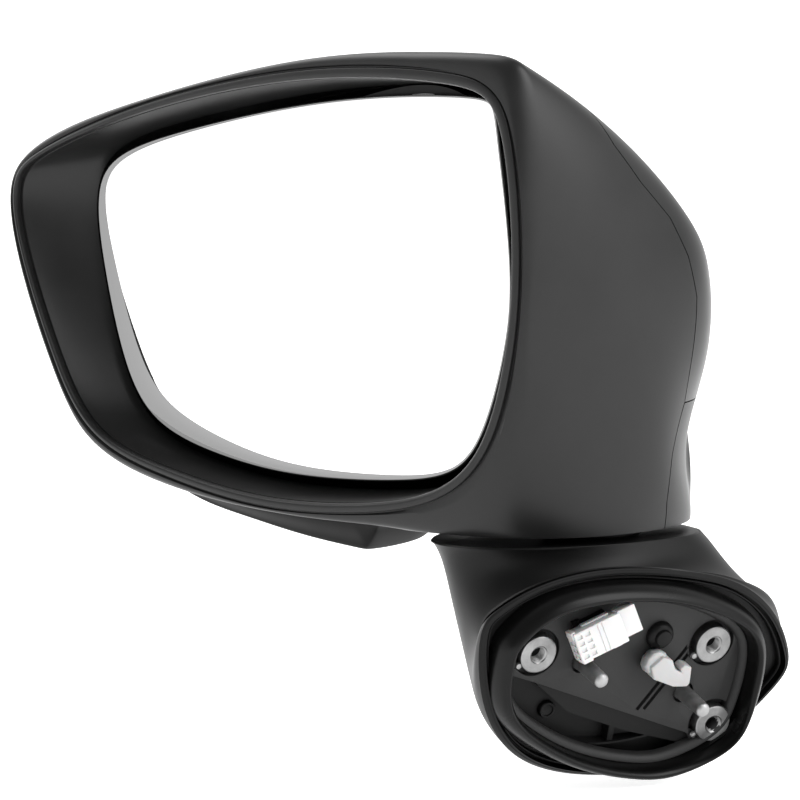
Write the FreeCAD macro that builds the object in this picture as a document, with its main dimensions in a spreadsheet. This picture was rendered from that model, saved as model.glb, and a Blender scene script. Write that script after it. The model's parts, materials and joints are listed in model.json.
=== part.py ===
import FreeCAD, Part

# Power-folding door mirror for the left side of a car.
# Frame: +Z up along the fold axis, +X inboard (towards the car), +Y forwards.
# Origin: the axis of the front locating pin, where it crosses the plane of the three boss faces.
import math
import os
import re

import Sketcher
from FreeCAD import Placement, Rotation, Vector

OUT_FOLDER = "parts"
UP = Vector(0, 0, 1)
UNTURNED = Rotation()

# ---------------------------------------------------------------- driving dimensions (mm, degrees)
SIZES = {
    "mount_tilt": 18.0,          # the door face leans back, so its normal points down by this much
    "rim_turn": 27.0,            # the rim plane, turned about Z from the X axis
    "rim_x": -35.0,              # a point of the rim plane, at the height of the origin
    "rim_y": -75.0,
    "skin": 2.6,                 # wall of the head's covers
    "rim_depth": 22.0,           # depth of the funnel from the rim to the glass
    "neck_z": 58.0,              # lower edge of the head round the pivot
    "foot_top": 55.0,            # top of the base cover
    "foot_skin": 2.4,
    "fold_w": 18.0,              # fold axis, along and behind the rim plane
    "fold_depth": 60.0,
    "seat_z": 48.0,              # pivot seat of the bracket
    "seat_radius": 20.0,
    "shaft_radius": 8.0,
    "shaft_bore": 5.5,
    "shaft_top": 110.0,
    "running": 0.06,             # radial clearance of a running fit
    "boss_radius": 7.3,
    "boss_bore": 2.5,            # minor radius of the M6 thread
    "boss_length": 10.0,
    "pin_radius": 2.9,
    "pin_length": 14.0,          # from the boss plane to the pin's end
    "plate_gap": 2.0,            # the liner plate lies this far behind the boss faces
    "gear_teeth": 32.0,
    "gear_module": 0.8,
    "gear_z": 79.0,
    "case_radius": 18.0,
    "case_wall": 1.8,
    "case_top": 113.0,
    "glass_depth": 18.0,         # rim plane to the front of the glass
    "glass_thick": 2.0,
    "pivot_w": -85.0,            # tilt centre of the glass
    "pivot_z": 145.0,
    "pivot_depth": 36.0,
    "screw_arm": 28.0,           # jackscrews stand this far from the tilt centre
    "actuator_radius": 42.0,
    "ball_radius": 4.0,
    "frame_depth": 60.0,         # front face of the head frame
}

doc = FreeCAD.newDocument("SideMirror")
sheet = doc.addObject("Spreadsheet::Sheet", "Dimensions")
for row, (alias, value) in enumerate(SIZES.items(), start=1):
    sheet.set("A%d" % row, alias)
    sheet.set("B%d" % row, str(value))
    sheet.setAlias("B%d" % row, alias)
doc.recompute()


def size(alias):
    return float(sheet.get(alias))


def formula(text):
    """An expression of sheet aliases, such as 'skin + 1', in the form setExpression takes."""
    return re.sub(r"[a-z_]{3,}", lambda word: "Dimensions." + word.group(), str(text))


# ---------------------------------------------------------------- local frames
tilt = math.radians(size("mount_tilt"))
FOOT = Placement(Vector(0, 0, 0), Rotation(Vector(0, 1, 0), Vector(math.sin(tilt), 0, math.cos(tilt)),
                                           Vector(math.cos(tilt), 0, -math.sin(tilt)), "ZXY"))
# FOOT: local x forwards, local y up the door face, local z out of the foot towards the door.
HEAD = Placement(Vector(size("rim_x"), size("rim_y"), 0),
                 Rotation(UP, size("rim_turn")) * Rotation(Vector(1, 0, 0), 90))
# HEAD: local x along the rim, inboard; local y up; local z out of the mirror towards the driver.
fold_point = HEAD.multVec(Vector(size("fold_w"), 0, -size("fold_depth")))
FOLD = Placement(Vector(fold_point.x, fold_point.y, 0), Rotation(UP, size("rim_turn")))
# FOLD: local z up the fold axis, local x along the rim, local y forwards into the head.
PIVOT = HEAD * Placement(Vector(size("pivot_w"), size("pivot_z"), -size("pivot_depth")), UNTURNED)


# ---------------------------------------------------------------- small builders
NODES = []


def at(x=0.0, y=0.0, z=0.0, rotation=UNTURNED):
    return Placement(Vector(x, y, z), rotation)


ALONG_X = Rotation(Vector(0, 1, 0), 90)
ALONG_Y = Rotation(Vector(1, 0, 0), -90)


def cylinder(radius, height, place=at()):
    item = doc.addObject("Part::Cylinder", "cylinder")
    item.setExpression("Radius", formula(radius))
    item.setExpression("Height", formula(height))
    item.Placement = place
    return item


def cone(radius_low, radius_high, height, place=at()):
    item = doc.addObject("Part::Cone", "cone")
    item.setExpression("Radius1", formula(radius_low))
    item.setExpression("Radius2", formula(radius_high))
    item.setExpression("Height", formula(height))
    item.Placement = place
    return item


def box(length, width, height, place=at()):
    item = doc.addObject("Part::Box", "box")
    item.setExpression("Length", formula(length))
    item.setExpression("Width", formula(width))
    item.setExpression("Height", formula(height))
    item.Placement = place
    return item


def sphere(radius, place=at()):
    item = doc.addObject("Part::Sphere", "sphere")
    item.setExpression("Radius", formula(radius))
    item.Placement = place
    return item


def block(low, high):
    """A box between two corners."""
    return box(high[0] - low[0], high[1] - low[1], high[2] - low[2], at(*low))


def fuse(*items):
    if len(items) == 1:
        return items[0]
    result = doc.addObject("Part::MultiFuse", "fuse")
    result.Shapes = list(items)
    return result


def cut(base, *tools):
    result = doc.addObject("Part::Cut", "cut")
    result.Base = base
    result.Tool = fuse(*tools)
    return result


def common(base, tool):
    result = doc.addObject("Part::Common", "common")
    result.Base = base
    result.Tool = tool
    return result


def solid_feature(shape, name="shape"):
    """A Part::Feature, for free-form shapes."""
    item = doc.addObject("Part::Feature", name)
    item.Shape = shape
    return item


def node(label, item, place=None):
    """Names a finished sub-part and puts it in its frame."""
    item.Label = label
    if place is not None:
        item.Placement = place.multiply(item.Placement)
    NODES.append(item)
    return item


def group(label, items, place=None):
    """Several separate solids in one node, such as a set of screws."""
    doc.recompute()
    return node(label, solid_feature(Part.makeCompound([item.Shape for item in items])), place)


# ---------------------------------------------------------------- outlines
def inset(outline, amount):
    """Moves a closed outline inwards by amount, square to its own run."""
    count = len(outline)
    area = sum(outline[i - 1][0] * outline[i][1] - outline[i][0] * outline[i - 1][1] for i in range(count))
    side = 1.0 if area > 0 else -1.0
    moved = []
    for i, (a, b) in enumerate(outline):
        before, after = outline[i - 1], outline[(i + 1) % count]
        run = math.hypot(after[0] - before[0], after[1] - before[1])
        normal = (-(after[1] - before[1]) / run * side, (after[0] - before[0]) / run * side)
        moved.append((a + normal[0] * amount, b + normal[1] * amount))
    return moved


def closed_wire(points):
    curve = Part.BSplineCurve()
    curve.interpolate(Points=points, PeriodicFlag=True)
    return Part.Wire([curve.toShape()])


def loft(rings):
    """A solid through closed rings, each a list of 3-D points."""
    return Part.makeLoft([closed_wire(ring) for ring in rings], True, False)


def prism(outline, low, high):
    """A solid with a smooth closed outline in the local XY plane, between two heights."""
    wire = closed_wire([Vector(a, b, low) for a, b in outline])
    return Part.Face(wire).extrude(Vector(0, 0, high - low))


def polygon_prism(points, direction):
    wire = Part.makePolygon(points + [points[0]])
    return Part.Face(wire).extrude(direction)


# ---------------------------------------------------------------- head shell
# Both outlines run over the top from the outboard tip, then down the flank and back along the bottom.
# (0..1 from outboard to inboard, 0..1 from the lower to the upper limit of a section)
RIM_SHAPE = [(0, 0.81), (0.064, 0.922), (0.281, 0.979), (0.6, 1.01), (0.906, 0.979), (0.979, 0.916),
             (1, 0.588), (0.987, 0.33), (0.936, 0.166), (0.851, 0.055), (0.715, 0.005), (0.515, 0.008),
             (0.289, 0.053), (0.157, 0.153), (0.089, 0.325), (0.0255, 0.58)]
BODY_SHAPE = [(0, 0.72), (0.06, 0.90), (0.26, 1.01), (0.6, 1.06), (0.88, 1.02), (0.975, 0.90),
              (1, 0.6), (0.99, 0.27), (0.985, 0.02), (0.92, -0.07), (0.715, -0.01), (0.5, 0.0),
              (0.28, 0.04), (0.14, 0.13), (0.06, 0.3), (0.01, 0.52)]
# depth, outboard and inboard limits, upper limit at each end, lower limit at each end,
# share of BODY_SHAPE, and how far the neck is drawn in
HEAD_SECTIONS = [
    (0, -208, 27, 205, 240, 62, 58, 0, 0),
    (7, -207, 32, 204, 235, 61, 58, 0.5, 0),
    (30, -195, 43, 200, 220, 62, 57, 1, 0),
    (60, -158, 51, 194, 196, 62, 56, 1, 0),
    (85, -105, 54, 182, 170, 66, 56, 1, 8),
    (101, -55, 45, 170, 156, 76, 60, 1, 9),
    (108, -20, 36, 156, 146, 96, 78, 1, 5),
    (111.5, 0, 22, 136, 130, 108, 104, 1, 0),
]
NECK_STATIONS = {6: 0.35, 7: 1.15, 8: 0.85, 9: 1.0}


def head_outline(section):
    depth, out_limit, in_limit, top_out, top_in, low_out, low_in, share, neck = section
    outline = []
    for station, (rim, body) in enumerate(zip(RIM_SHAPE, BODY_SHAPE)):
        across = rim[0] + (body[0] - rim[0]) * share
        rise = rim[1] + (body[1] - rim[1]) * share
        low = low_out + across * (low_in - low_out)
        top = top_out + across * (top_in - top_out)
        along = out_limit + across * (in_limit - out_limit) - neck * NECK_STATIONS.get(station, 0.0)
        outline.append((along, low + rise * (top - low)))
    return outline


def at_depth(outline, depth):
    return [Vector(a, b, -depth) for a, b in outline]


skin = size("skin")
outer_head = loft([at_depth(head_outline(s), s[0]) for s in HEAD_SECTIONS])
inner_rings = []
for section in HEAD_SECTIONS[:-1]:
    depth = min(max(section[0], skin), HEAD_SECTIONS[-1][0] - skin)
    inner_rings.append(at_depth(inset(head_outline(section), skin), depth))
inner_head = loft(inner_rings)

RIM_INNER = [(-204, 176), (-188, 190.5), (-138, 208), (-67, 221), (-2, 221.5), (15, 208),
             (22, 160), (18.5, 122), (9, 93), (-9, 75.5), (-40, 67.5), (-87, 66),
             (-133, 73.5), (-167, 87), (-186, 115), (-200, 150)]
GLASS = [(-178.5, 172), (-168, 188.5), (-130, 201), (-66, 213), (-8, 216), (5, 203),
         (9.5, 158), (8, 125), (0, 97), (-14, 79.5), (-42, 73.5), (-84, 72.5),
         (-121, 77.5), (-151, 89), (-167, 113), (-176, 147)]
THROAT = inset(GLASS, -3.5)
rim_depth = size("rim_depth")
funnel_space = loft([at_depth(inset(RIM_INNER, -0.4), -1), at_depth(RIM_INNER, 0), at_depth(THROAT, rim_depth),
                     at_depth(THROAT, rim_depth + 1)])
funnel_body = loft([at_depth(inset(RIM_INNER, -2.2), skin / 2), at_depth(inset(THROAT, -2.2), rim_depth)])

below_neck = Part.makeBox(320, 120, 200, Vector(-250, size("neck_z") - 120, -150))
# the keel under the outboard half of the head
KEEL = [(-150, 68), (-108, 56), (-85, 49.5), (-62, 46.5), (-50.5, 49), (-49.5, 68)]
keel = polygon_prism([Vector(a, b, -52) for a, b in KEEL], Vector(0, 0, 40))

shell = outer_head.fuse(funnel_body).cut(inner_head.cut(funnel_body)).cut(funnel_space).cut(below_neck)

# Seams, as (depth, height) on the flank; each runs on across the head along the rim's direction.
CAP_SEAM = [(29, 260), (31, 222), (41, 199), (51.5, 185), (65, 171.5), (73, 157), (77, 142), (76, 103)]
LOW_SEAM = [(76, 103), (68, 85), (64, 68), (63, 40)]
FRONT = 140
cap_zone = polygon_prism([Vector(-260, b, -a) for a, b in CAP_SEAM + [(FRONT, 103), (FRONT, 260)]],
                         Vector(360, 0, 0))
low_zone = polygon_prism([Vector(-260, b, -a) for a, b in LOW_SEAM + [(FRONT, 40), (FRONT, 103)]],
                         Vector(360, 0, 0))
KEEL_ZONE = [(27, 30), (27, 72), (66, 90), (72, 90), (66, 76), (64, 60), (64, 30)]
keel_zone = polygon_prism([Vector(-260, b, -a) for a, b in KEEL_ZONE], Vector(208, 0, 0))

cap_shape = shell.common(cap_zone)
low_shape = shell.common(low_zone.fuse(keel_zone)).fuse(keel.cut(outer_head))
POSTS = [(28, 165), (28, 125)]
posts = []
for along, rise in POSTS:
    web = Part.makeBox(24, 3, 15, Vector(13.5, rise - 1.5, -27)).cut(funnel_space)
    post = Part.makeCylinder(3.5, size("frame_depth") - 22, Vector(along, rise, -size("frame_depth")))
    bore = Part.makeCylinder(1.6, 10, Vector(along, rise, -size("frame_depth")))
    posts.append(web.fuse(post).cut(bore))
rear_shape = shell.cut(cap_zone).cut(low_zone).cut(keel_zone).multiFuse(posts)
node("rear_housing", solid_feature(rear_shape), HEAD)
node("front_cover", solid_feature(cap_shape), HEAD)
node("lower_cover", solid_feature(low_shape), HEAD)


# ---------------------------------------------------------------- foot cover
HINGE = Vector(math.tan(tilt) * size("foot_top"), 0, size("foot_top"))
# The door face and the top of the foot meet along a line through HINGE, and the cover's
# sections turn about that line, from the door face round to the neck.
FLANGE = [(-90, 30), (-84.5, 41), (-68, 49.5), (-40, 53.5), (-8, 50), (15, 43), (32, 30), (41.5, 14),
          (41, 3), (30.5, -10), (15, -23), (-8, -30.5), (-32, -30.5), (-53, -26), (-71, -15.5), (-84.5, 5)]
GASKET = [(-82, 23), (-79, 32), (-66, 42.5), (-42, 47), (-14, 44.5), (8, 37), (22, 27.5), (27.5, 15),
          (27.5, 0), (24.5, -13.5), (15.7, -23.2), (-2, -30.3), (-20, -30), (-42, -24), (-63, -13), (-79, 3)]
GASKET_WALL = 4.0
NECK_CENTRE = (-25.0, 64.5)
NECK_HALF = (52.0, 33.5)
NECK_ANGLE = 90 - size("mount_tilt")
# turn from the door face, share of the neck's outline, rear limit, front limit
FOOT_SECTIONS = [(1, 0.0, -90, 41.5), (6, 0.03, -89.5, 42.3), (12, 0.15, -87, 43.5), (22, 0.5, -80, 44.5),
                 (36, 0.78, -73.5, 42.5), (54, 0.94, -70.5, 37), (66, 0.99, -70.5, 31.5),
                 (NECK_ANGLE, 1.0, -77, 27)]
# the corner over the front of the flange stays full: station to how late it turns into the neck, and
# station to how far the neck's outline stands out of its oval
LATE_STATIONS = {4: 1.5, 5: 2.5, 6: 3.0, 7: 2.0}
FULL_STATIONS = {5: 1.02, 6: 1.08, 7: 1.05}
hinge_reach = size("foot_top") / math.cos(tilt)


def neck_station(index):
    angle, full = 2 * math.pi * index / len(FLANGE), FULL_STATIONS.get(index, 1.0)
    return (NECK_CENTRE[0] - NECK_HALF[0] * full * math.cos(angle),
            NECK_CENTRE[1] - NECK_HALF[1] * full * math.sin(angle))


def foot_outline(share, rear, front):
    outline = []
    for index, (along, rise) in enumerate(FLANGE):
        neck, turn = neck_station(index), share ** LATE_STATIONS.get(index, 1.0)
        outline.append((along + (neck[0] - along) * turn,
                        hinge_reach - rise + (neck[1] - hinge_reach + rise) * turn))
    back, ahead = min(p[0] for p in outline), max(p[0] for p in outline)
    return [(rear + (along - back) * (front - rear) / (ahead - back), reach) for along, reach in outline]


def turned(outline, degrees, drop=0.0):
    """Places an outline of (forwards, reach from the hinge line) at an angle from the door face."""
    angle = math.radians(degrees) + tilt
    run = Vector(-math.sin(angle), 0, -math.cos(angle))
    return [HINGE + run * reach + Vector(0, along, -drop) for along, reach in outline]


foot_skin = size("foot_skin")
foot_outer = loft([turned(foot_outline(*limits), degrees) for degrees, *limits in FOOT_SECTIONS])
first, last = FOOT_SECTIONS[0], FOOT_SECTIONS[-1]
foot_rings = [turned(inset(foot_outline(*first[1:]), foot_skin), -1)]
foot_rings += [turned(inset(foot_outline(*limits), foot_skin), degrees)
               for degrees, *limits in FOOT_SECTIONS[1:-1]]
foot_rings.append(turned(inset(foot_outline(*last[1:]), foot_skin), NECK_ANGLE, foot_skin))
foot_inner = loft(foot_rings)
lip = prism(inset(FLANGE, 0.6), -3.4, -1.2).cut(prism(inset(GASKET, -0.1), -4, 0))
lip.Placement = FOOT.multiply(lip.Placement)
seat_hole = Part.makeCylinder(size("case_radius") + 1.2, 40, Vector(fold_point.x, fold_point.y, 40))
node("base_cover", solid_feature(foot_outer.cut(foot_inner).cut(seat_hole).fuse(lip)))

# ---------------------------------------------------------------- bracket, on the door face
BOSSES = {"rear": (-65.0, 21.6), "upper": (8.2, 19.4), "lower": (14.2, -13.3)}
PINS = {"rear": (-45.2, 15.9), "front": (0.0, 0.0)}
PLATE_BACK = -8.0
BRACKET_PLATE = [(-73, 20), (-70, 27), (-58, 29.5), (-30, 29.5), (0, 29), (12, 27.5), (17, 16), (20, 0),
                 (21.5, -14), (14, -20.5), (4, -19), (-20, -12), (-45, -2), (-68, 12)]
plate_front = -size("plate_gap") - 2.0
bracket_plate = solid_feature(prism(BRACKET_PLATE, PLATE_BACK, plate_front), "bracket_plate")
bosses = [cylinder("boss_radius", "boss_length", at(a, b, -size("boss_length"))) for a, b in BOSSES.values()]
threads = [cylinder("boss_bore", "boss_length + 2", at(a, b, -size("boss_length") - 1))
           for a, b in BOSSES.values()]
mouths = [cone("boss_bore", "boss_bore + 0.6", 0.7, at(a, b, -0.6)) for a, b in BOSSES.values()]
pins = []
for along, rise in PINS.values():
    pins.append(cylinder("pin_radius", "pin_length + 5.5", at(along, rise, -7)))
    pins.append(cone("pin_radius", "pin_radius - 1", 1.5, at(along, rise, size("pin_length") - 1.5)))
door_side = cut(fuse(bracket_plate, *bosses, *pins), *threads, *mouths)
door_side.Placement = FOOT
ARM = [(-8.0, -2.5), (1.6, 27), (-14, 36), (-30, 47), (-60, 47), (-60, 37), (-38, 20)]
arm = polygon_prism([Vector(x, -32, z) for x, z in ARM], Vector(0, 36, 0))
arm_feature = solid_feature(arm, "arm")
seat = cylinder("seat_radius", 12, at(fold_point.x, fold_point.y, size("seat_z") - 12))
recess = cylinder(14.6, 5, at(fold_point.x, fold_point.y, size("seat_z") - 4))
wire_way = cylinder("shaft_bore + 0.5", 60, at(fold_point.x, fold_point.y, 0))
SCREW_ANGLES = (80, 150, 220)
screw_spots = [(10.8 * math.cos(math.radians(a)), 10.8 * math.sin(math.radians(a))) for a in SCREW_ANGLES]
screw_ways = [cylinder(2.0, 12, FOLD * at(x, y, size("seat_z") - 13)) for x, y in screw_spots]
head_ways = [cylinder(4.2, 40, FOLD * at(x, y, size("seat_z") - 52)) for x, y in screw_spots]
node("base_bracket", cut(fuse(door_side, arm_feature, seat), recess, wire_way, *screw_ways, *head_ways))
group("shaft_screws", [fuse(cylinder(2.0, 10.5, at(x, y, size("seat_z") - 12)),
                            cylinder(3.8, 2.5, at(x, y, size("seat_z") - 14.5))) for x, y in screw_spots], FOLD)

# ---------------------------------------------------------------- door-side fittings
CLIP = (-15.8, 14.4)
DOME = (-14.8, 24.6)
liner_low = -size("plate_gap") - 2.0
liner_edge = polygon_prism([Vector(-95, 21, -10), Vector(-62, 9, -10), Vector(11, -19.5, -10), Vector(30, -19.5, -10),
                            Vector(30, -60, -10), Vector(-95, -60, -10)], Vector(0, 0, 20))
liner_plate = prism(inset(GASKET, GASKET_WALL - 1), liner_low, -size("plate_gap")).cut(liner_edge)
liner = solid_feature(liner_plate, "liner")
liner_holes = [cylinder("boss_radius + 1.4", 6, at(a, b, -6)) for a, b in BOSSES.values()]
liner_holes += [cylinder("pin_radius + 1.2", 6, at(a, b, -6)) for a, b in PINS.values()]
liner_holes += [cylinder(3.0, 6, at(*CLIP, -6)), cylinder(3.6, 6, at(*DOME, -6))]
node("liner_plate", cut(liner, *liner_holes), FOOT)

tube = prism(GASKET, -size("plate_gap"), 8).cut(prism(inset(GASKET, GASKET_WALL), -3, 9))
crest = [edge for edge in tube.Edges if edge.Length > 100 and edge.BoundBox.ZMin > 7]
boss_space = [Part.makeCylinder(size("boss_radius") + 0.3, 14, Vector(a, b, -3)) for a, b in BOSSES.values()]
node("mounting_gasket", solid_feature(tube.makeFillet(1.8, crest).cut(Part.makeCompound(boss_space))), FOOT)

clip_foot = cylinder(3.0, 4.8, at(*CLIP, -4.0))
clip_barrel = cylinder(5.0, 7.0, at(*CLIP, -size("plate_gap")))
clip_arm = box(15, 6.4, 6.0, at(CLIP[0] - 2, CLIP[1] - 4.0, 2.0, Rotation(UP, -28)))
clip_tip = box(3.2, 6.4, 4.0, at(CLIP[0] + 9.6, CLIP[1] - 9.2, 7.0, Rotation(UP, -28)))
node("retaining_clip", fuse(clip_foot, clip_barrel, clip_arm, clip_tip), FOOT)
plug_stem = cylinder(3.6, 3.0, at(*DOME, -4.0))
plug_dome = cone(5.0, 3.2, 2.6, at(*DOME, -size("plate_gap")))
node("blind_plug", fuse(plug_stem, plug_dome), FOOT)

PLUG_SEAT = at(-44.3, 32.3, 2.0, Rotation(UP, 23))
plug_lean = at(0, 0, 0.6, Rotation(Vector(1, 0, 0), -18))
PLUG = PLUG_SEAT * plug_lean
plug_body = fuse(block((-12.8, -6.4, 0), (12.8, 4.9, 7.4)), block((-8, 4.9, 1.5), (4, 5.8, 6)),
                 block((-12, -7.2, 1.5), (-6, -6.4, 6)))
cavities = [block((-14, -4.3 + 1.5 * i, 1.2 + 3.2 * j), (-5, -3.3 + 1.5 * i, 3.4 + 3.2 * j))
            for i in range(6) for j in range(2)]
node("plug_connector", cut(plug_body, *cavities), FOOT * PLUG)
holder_body = fuse(block((-5, -3, -4.0), (5, 3, 2.5)), block((-8, -4, -4.0), (-5, 4, -2.6)))
holder_top = box(40, 40, 20, plug_lean * at(-20, -20, 0))
node("plug_holder", cut(holder_body, holder_top), FOOT * PLUG_SEAT)

# ---------------------------------------------------------------- fold axis
shaft_low = size("seat_z") - 4


def revolved_body(label, profile):
    """A PartDesign body turned from a half profile of (radius, height) points about Z."""
    body = doc.addObject("PartDesign::Body", label)
    sketch = body.newObject("Sketcher::SketchObject", label + "_profile")
    plane = next(f for f in body.Origin.OriginFeatures if f.Role == "XZ_Plane")
    sketch.AttachmentSupport = [(plane, "")]
    sketch.MapMode = "FlatFace"
    for index, (radius, height) in enumerate(profile):
        before = profile[index - 1]
        sketch.addGeometry(Part.LineSegment(Vector(before[0], before[1], 0), Vector(radius, height, 0)), False)
    turn = body.newObject("PartDesign::Revolution", label + "_turn")
    turn.Profile = sketch
    turn.ReferenceAxis = (sketch, ["V_Axis"])
    turn.Angle = 360
    return body


def pad_body(label, low, height, radius, bore):
    """A PartDesign body: a round pad with a bore. Returns the body, ready for pockets."""
    body = doc.addObject("PartDesign::Body", label)
    sketch = round_sketch(body, label + "_outline", low, [(0, 0, radius), (0, 0, bore)])
    pad = body.newObject("PartDesign::Pad", label + "_pad")
    pad.Profile = sketch
    pad.setExpression("Length", formula(height))
    return body


def round_sketch(body, name, low, circles):
    sketch = body.newObject("Sketcher::SketchObject", name)
    plane = next(f for f in body.Origin.OriginFeatures if f.Role == "XY_Plane")
    sketch.AttachmentSupport = [(plane, "")]
    sketch.MapMode = "FlatFace"
    sketch.AttachmentOffset = at(0, 0, low)
    for x, y, radius in circles:
        geometry = sketch.addGeometry(Part.Circle(Vector(x, y, 0), UP, 1.0), False)
        rule = sketch.addConstraint(Sketcher.Constraint("Radius", geometry, 1.0))
        sketch.setExpression("Constraints[%d]" % rule, formula(radius))
    return sketch


shaft_profile = [(size("shaft_bore"), shaft_low), (14.5, shaft_low), (14.5, size("seat_z")),
                 (size("shaft_radius"), size("seat_z")), (size("shaft_radius"), size("shaft_top")),
                 (size("shaft_bore"), size("shaft_top"))]
shaft = revolved_body("pivot_shaft", shaft_profile)
doc.recompute()
screw_sketch = round_sketch(shaft, "screw_holes", shaft_low, [(x, y, 2.0) for x, y in screw_spots])
screw_pocket = shaft.newObject("PartDesign::Pocket", "screw_pocket")
screw_pocket.Profile = screw_sketch
screw_pocket.Length = 2.6
screw_pocket.Reversed = True
node("pivot_shaft", shaft, FOLD)
running = size("running")
washer = pad_body("friction_washer", size("seat_z"), 2, "case_radius - 0.5", "shaft_radius + running")
node("friction_washer", washer, FOLD)

gear_low = size("gear_z") - 6
case_floor = size("seat_z") + 2.1
pitch_radius = size("gear_teeth") * size("gear_module") / 2
tip_radius = pitch_radius + 0.85 * size("gear_module")
root_radius = pitch_radius - 1.1 * size("gear_module")
teeth = int(size("gear_teeth"))
TOOTH_SLIMNESS = 0.44


def gear_solid(count, root, pitch, tip, low, high, bore, first_angle):
    """Straight teeth round a disc, with slim flanks so that they run free in the worm."""
    wheel = Part.makeCylinder(root, high - low, Vector(0, 0, low))
    step = 2 * math.pi / count
    half_foot, half_tip = 0.62 * TOOTH_SLIMNESS * step * pitch, 0.30 * TOOTH_SLIMNESS * step * pitch
    tooth = polygon_prism([Vector(root - 0.4, -half_foot, low), Vector(tip, -half_tip, low),
                           Vector(tip, half_tip, low), Vector(root - 0.4, half_foot, low)],
                          Vector(0, 0, high - low))
    turned_teeth = []
    for index in range(count):
        copy = tooth.copy()
        copy.rotate(Vector(0, 0, 0), UP, first_angle + math.degrees(index * step))
        turned_teeth.append(copy)
    return wheel.multiFuse(turned_teeth).cut(Part.makeCylinder(bore, high - low + 2, Vector(0, 0, low - 1)))


space_at_worm = 90 + 180.0 / teeth
rim_gear = gear_solid(teeth, root_radius, pitch_radius, tip_radius, gear_low, gear_low + 12,
                      size("shaft_radius"), space_at_worm)
hub = Part.makeCylinder(11.0, gear_low - case_floor - 4, Vector(0, 0, case_floor + 4))
hub = hub.cut(Part.makeCylinder(size("shaft_radius"), 60, Vector(0, 0, 40)))
node("fold_gear", solid_feature(rim_gear.fuse(hub)), FOLD)

clutch_low = gear_low + 12
clutch = pad_body("clutch_ring", clutch_low, 4, 13, "shaft_radius")
node("clutch_ring", clutch, FOLD)
spring_low, spring_high = clutch_low + 4, clutch_low + 19
disc_rise = (spring_high - spring_low) / 6
inner_line = [(9.2 if step % 2 else 12.2, spring_low + step * disc_rise) for step in range(7)]
spring_profile = [(radius - 0.5 if radius < 10 else radius - 0.9, height) for radius, height in inner_line]
spring_profile += [(radius + (0.9 if radius < 10 else 0.5), height) for radius, height in reversed(inner_line)]
node("clutch_spring", revolved_body("clutch_spring", spring_profile), FOLD)
node("spring_washer", pad_body("spring_washer", spring_high, 2.5, 13, "shaft_radius"), FOLD)

# gear case, with a pocket along the rim's direction for the worm and its motor
WORM_OFFSET = 4.0
worm_line = pitch_radius + WORM_OFFSET
case_wall = size("case_wall")
case_radius = size("case_radius")
POCKET_LOW = (-48.2, worm_line - 9.7, size("gear_z") - 9.6)
POCKET_HIGH = (15.2, worm_line + 9.7, size("gear_z") + 9.6)
wall = Vector(case_wall, case_wall, case_wall)


def solid_box(low, high):
    return Part.makeBox(high.x - low.x, high.y - low.y, high.z - low.z, low)


case_outer = Part.makeCylinder(case_radius, size("case_top") - 3 - case_floor, Vector(0, 0, case_floor))
case_outer = case_outer.fuse(solid_box(Vector(*POCKET_LOW) - wall, Vector(*POCKET_HIGH) + wall))
case_space = Part.makeCylinder(case_radius - case_wall, 80, Vector(0, 0, case_floor + 3.9))
case_space = case_space.fuse(solid_box(Vector(*POCKET_LOW), Vector(*POCKET_HIGH)))
case_bore = Part.makeCylinder(size("shaft_radius") + running, 20, Vector(0, 0, case_floor - 5))
bearing_start = Vector(POCKET_HIGH[0] - 2, worm_line, size("gear_z"))
worm_bearing = Part.makeCylinder(1.5 + running, 10, bearing_start, Vector(1, 0, 0))
node("fold_case", solid_feature(case_outer.cut(case_space).cut(case_bore).cut(worm_bearing)), FOLD)
node("fold_case_lid", pad_body("fold_case_lid", size("case_top") - 3, 3, "case_radius", 5.0), FOLD)

WORM = FOLD * Placement(Vector(0, worm_line, size("gear_z")),
                        Rotation(Vector(0, -1, 0), Vector(0, 0, -1), Vector(1, 0, 0), "ZXY"))
# WORM: local z along the rim, local x towards the gear.
lead = math.pi * size("gear_module")
worm_root, worm_tip = 3.2, 4.5
thread_path = Part.Wire(Part.makeHelix(lead, 4 * lead, worm_root))
thread_profile = Part.makePolygon([Vector(worm_root - 0.3, 0, -0.62), Vector(worm_tip, 0, -0.25),
                                   Vector(worm_tip, 0, 0.25), Vector(worm_root - 0.3, 0, 0.62),
                                   Vector(worm_root - 0.3, 0, -0.62)])
thread = thread_path.makePipeShell([thread_profile], True, True)
thread.translate(Vector(0, 0, -2 * lead))
worm_core = Part.makeCylinder(worm_root, 14, Vector(0, 0, -7))
worm_axle = Part.makeCylinder(1.5, 38, Vector(0, 0, -22))
node("fold_worm", solid_feature(worm_core.fuse(worm_axle).fuse(thread)), WORM)
motor = cut(cylinder(9.4, 30, at(0, 0, -47.5)), cylinder(1.5 + running, 6, at(0, 0, -23)))
node("fold_motor", motor, WORM)

# ---------------------------------------------------------------- head frame and fixings
frame_depth = size("frame_depth")
FRAME_PLATE = [(-132, 106), (-134, 172), (-118, 184), (-62, 195), (-10, 186), (8, 174), (34, 172), (34, 117), (-8, 115),
               (-14, 92), (-60, 84), (-108, 90)]
WINDOWS = [[(-126, 120), (-126, 166), (-118, 166), (-118, 120)], [(-52, 92), (-112, 96), (-100, 104), (-60, 104)],
           [(-38, 120), (-38, 178), (-16, 172), (-16, 120)]]
frame_plate = polygon_prism([Vector(a, b, -frame_depth - 3) for a, b in FRAME_PLATE], Vector(0, 0, 3))
for window in WINDOWS:
    frame_plate = frame_plate.cut(polygon_prism([Vector(a, b, -frame_depth - 5) for a, b in window], Vector(0, 0, 8)))
saddle = Part.makeBox(32, 18, 24, Vector(-14, 93, -frame_depth - 24))
saddle_start = Vector(size("fold_w"), 70, -size("fold_depth"))
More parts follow.
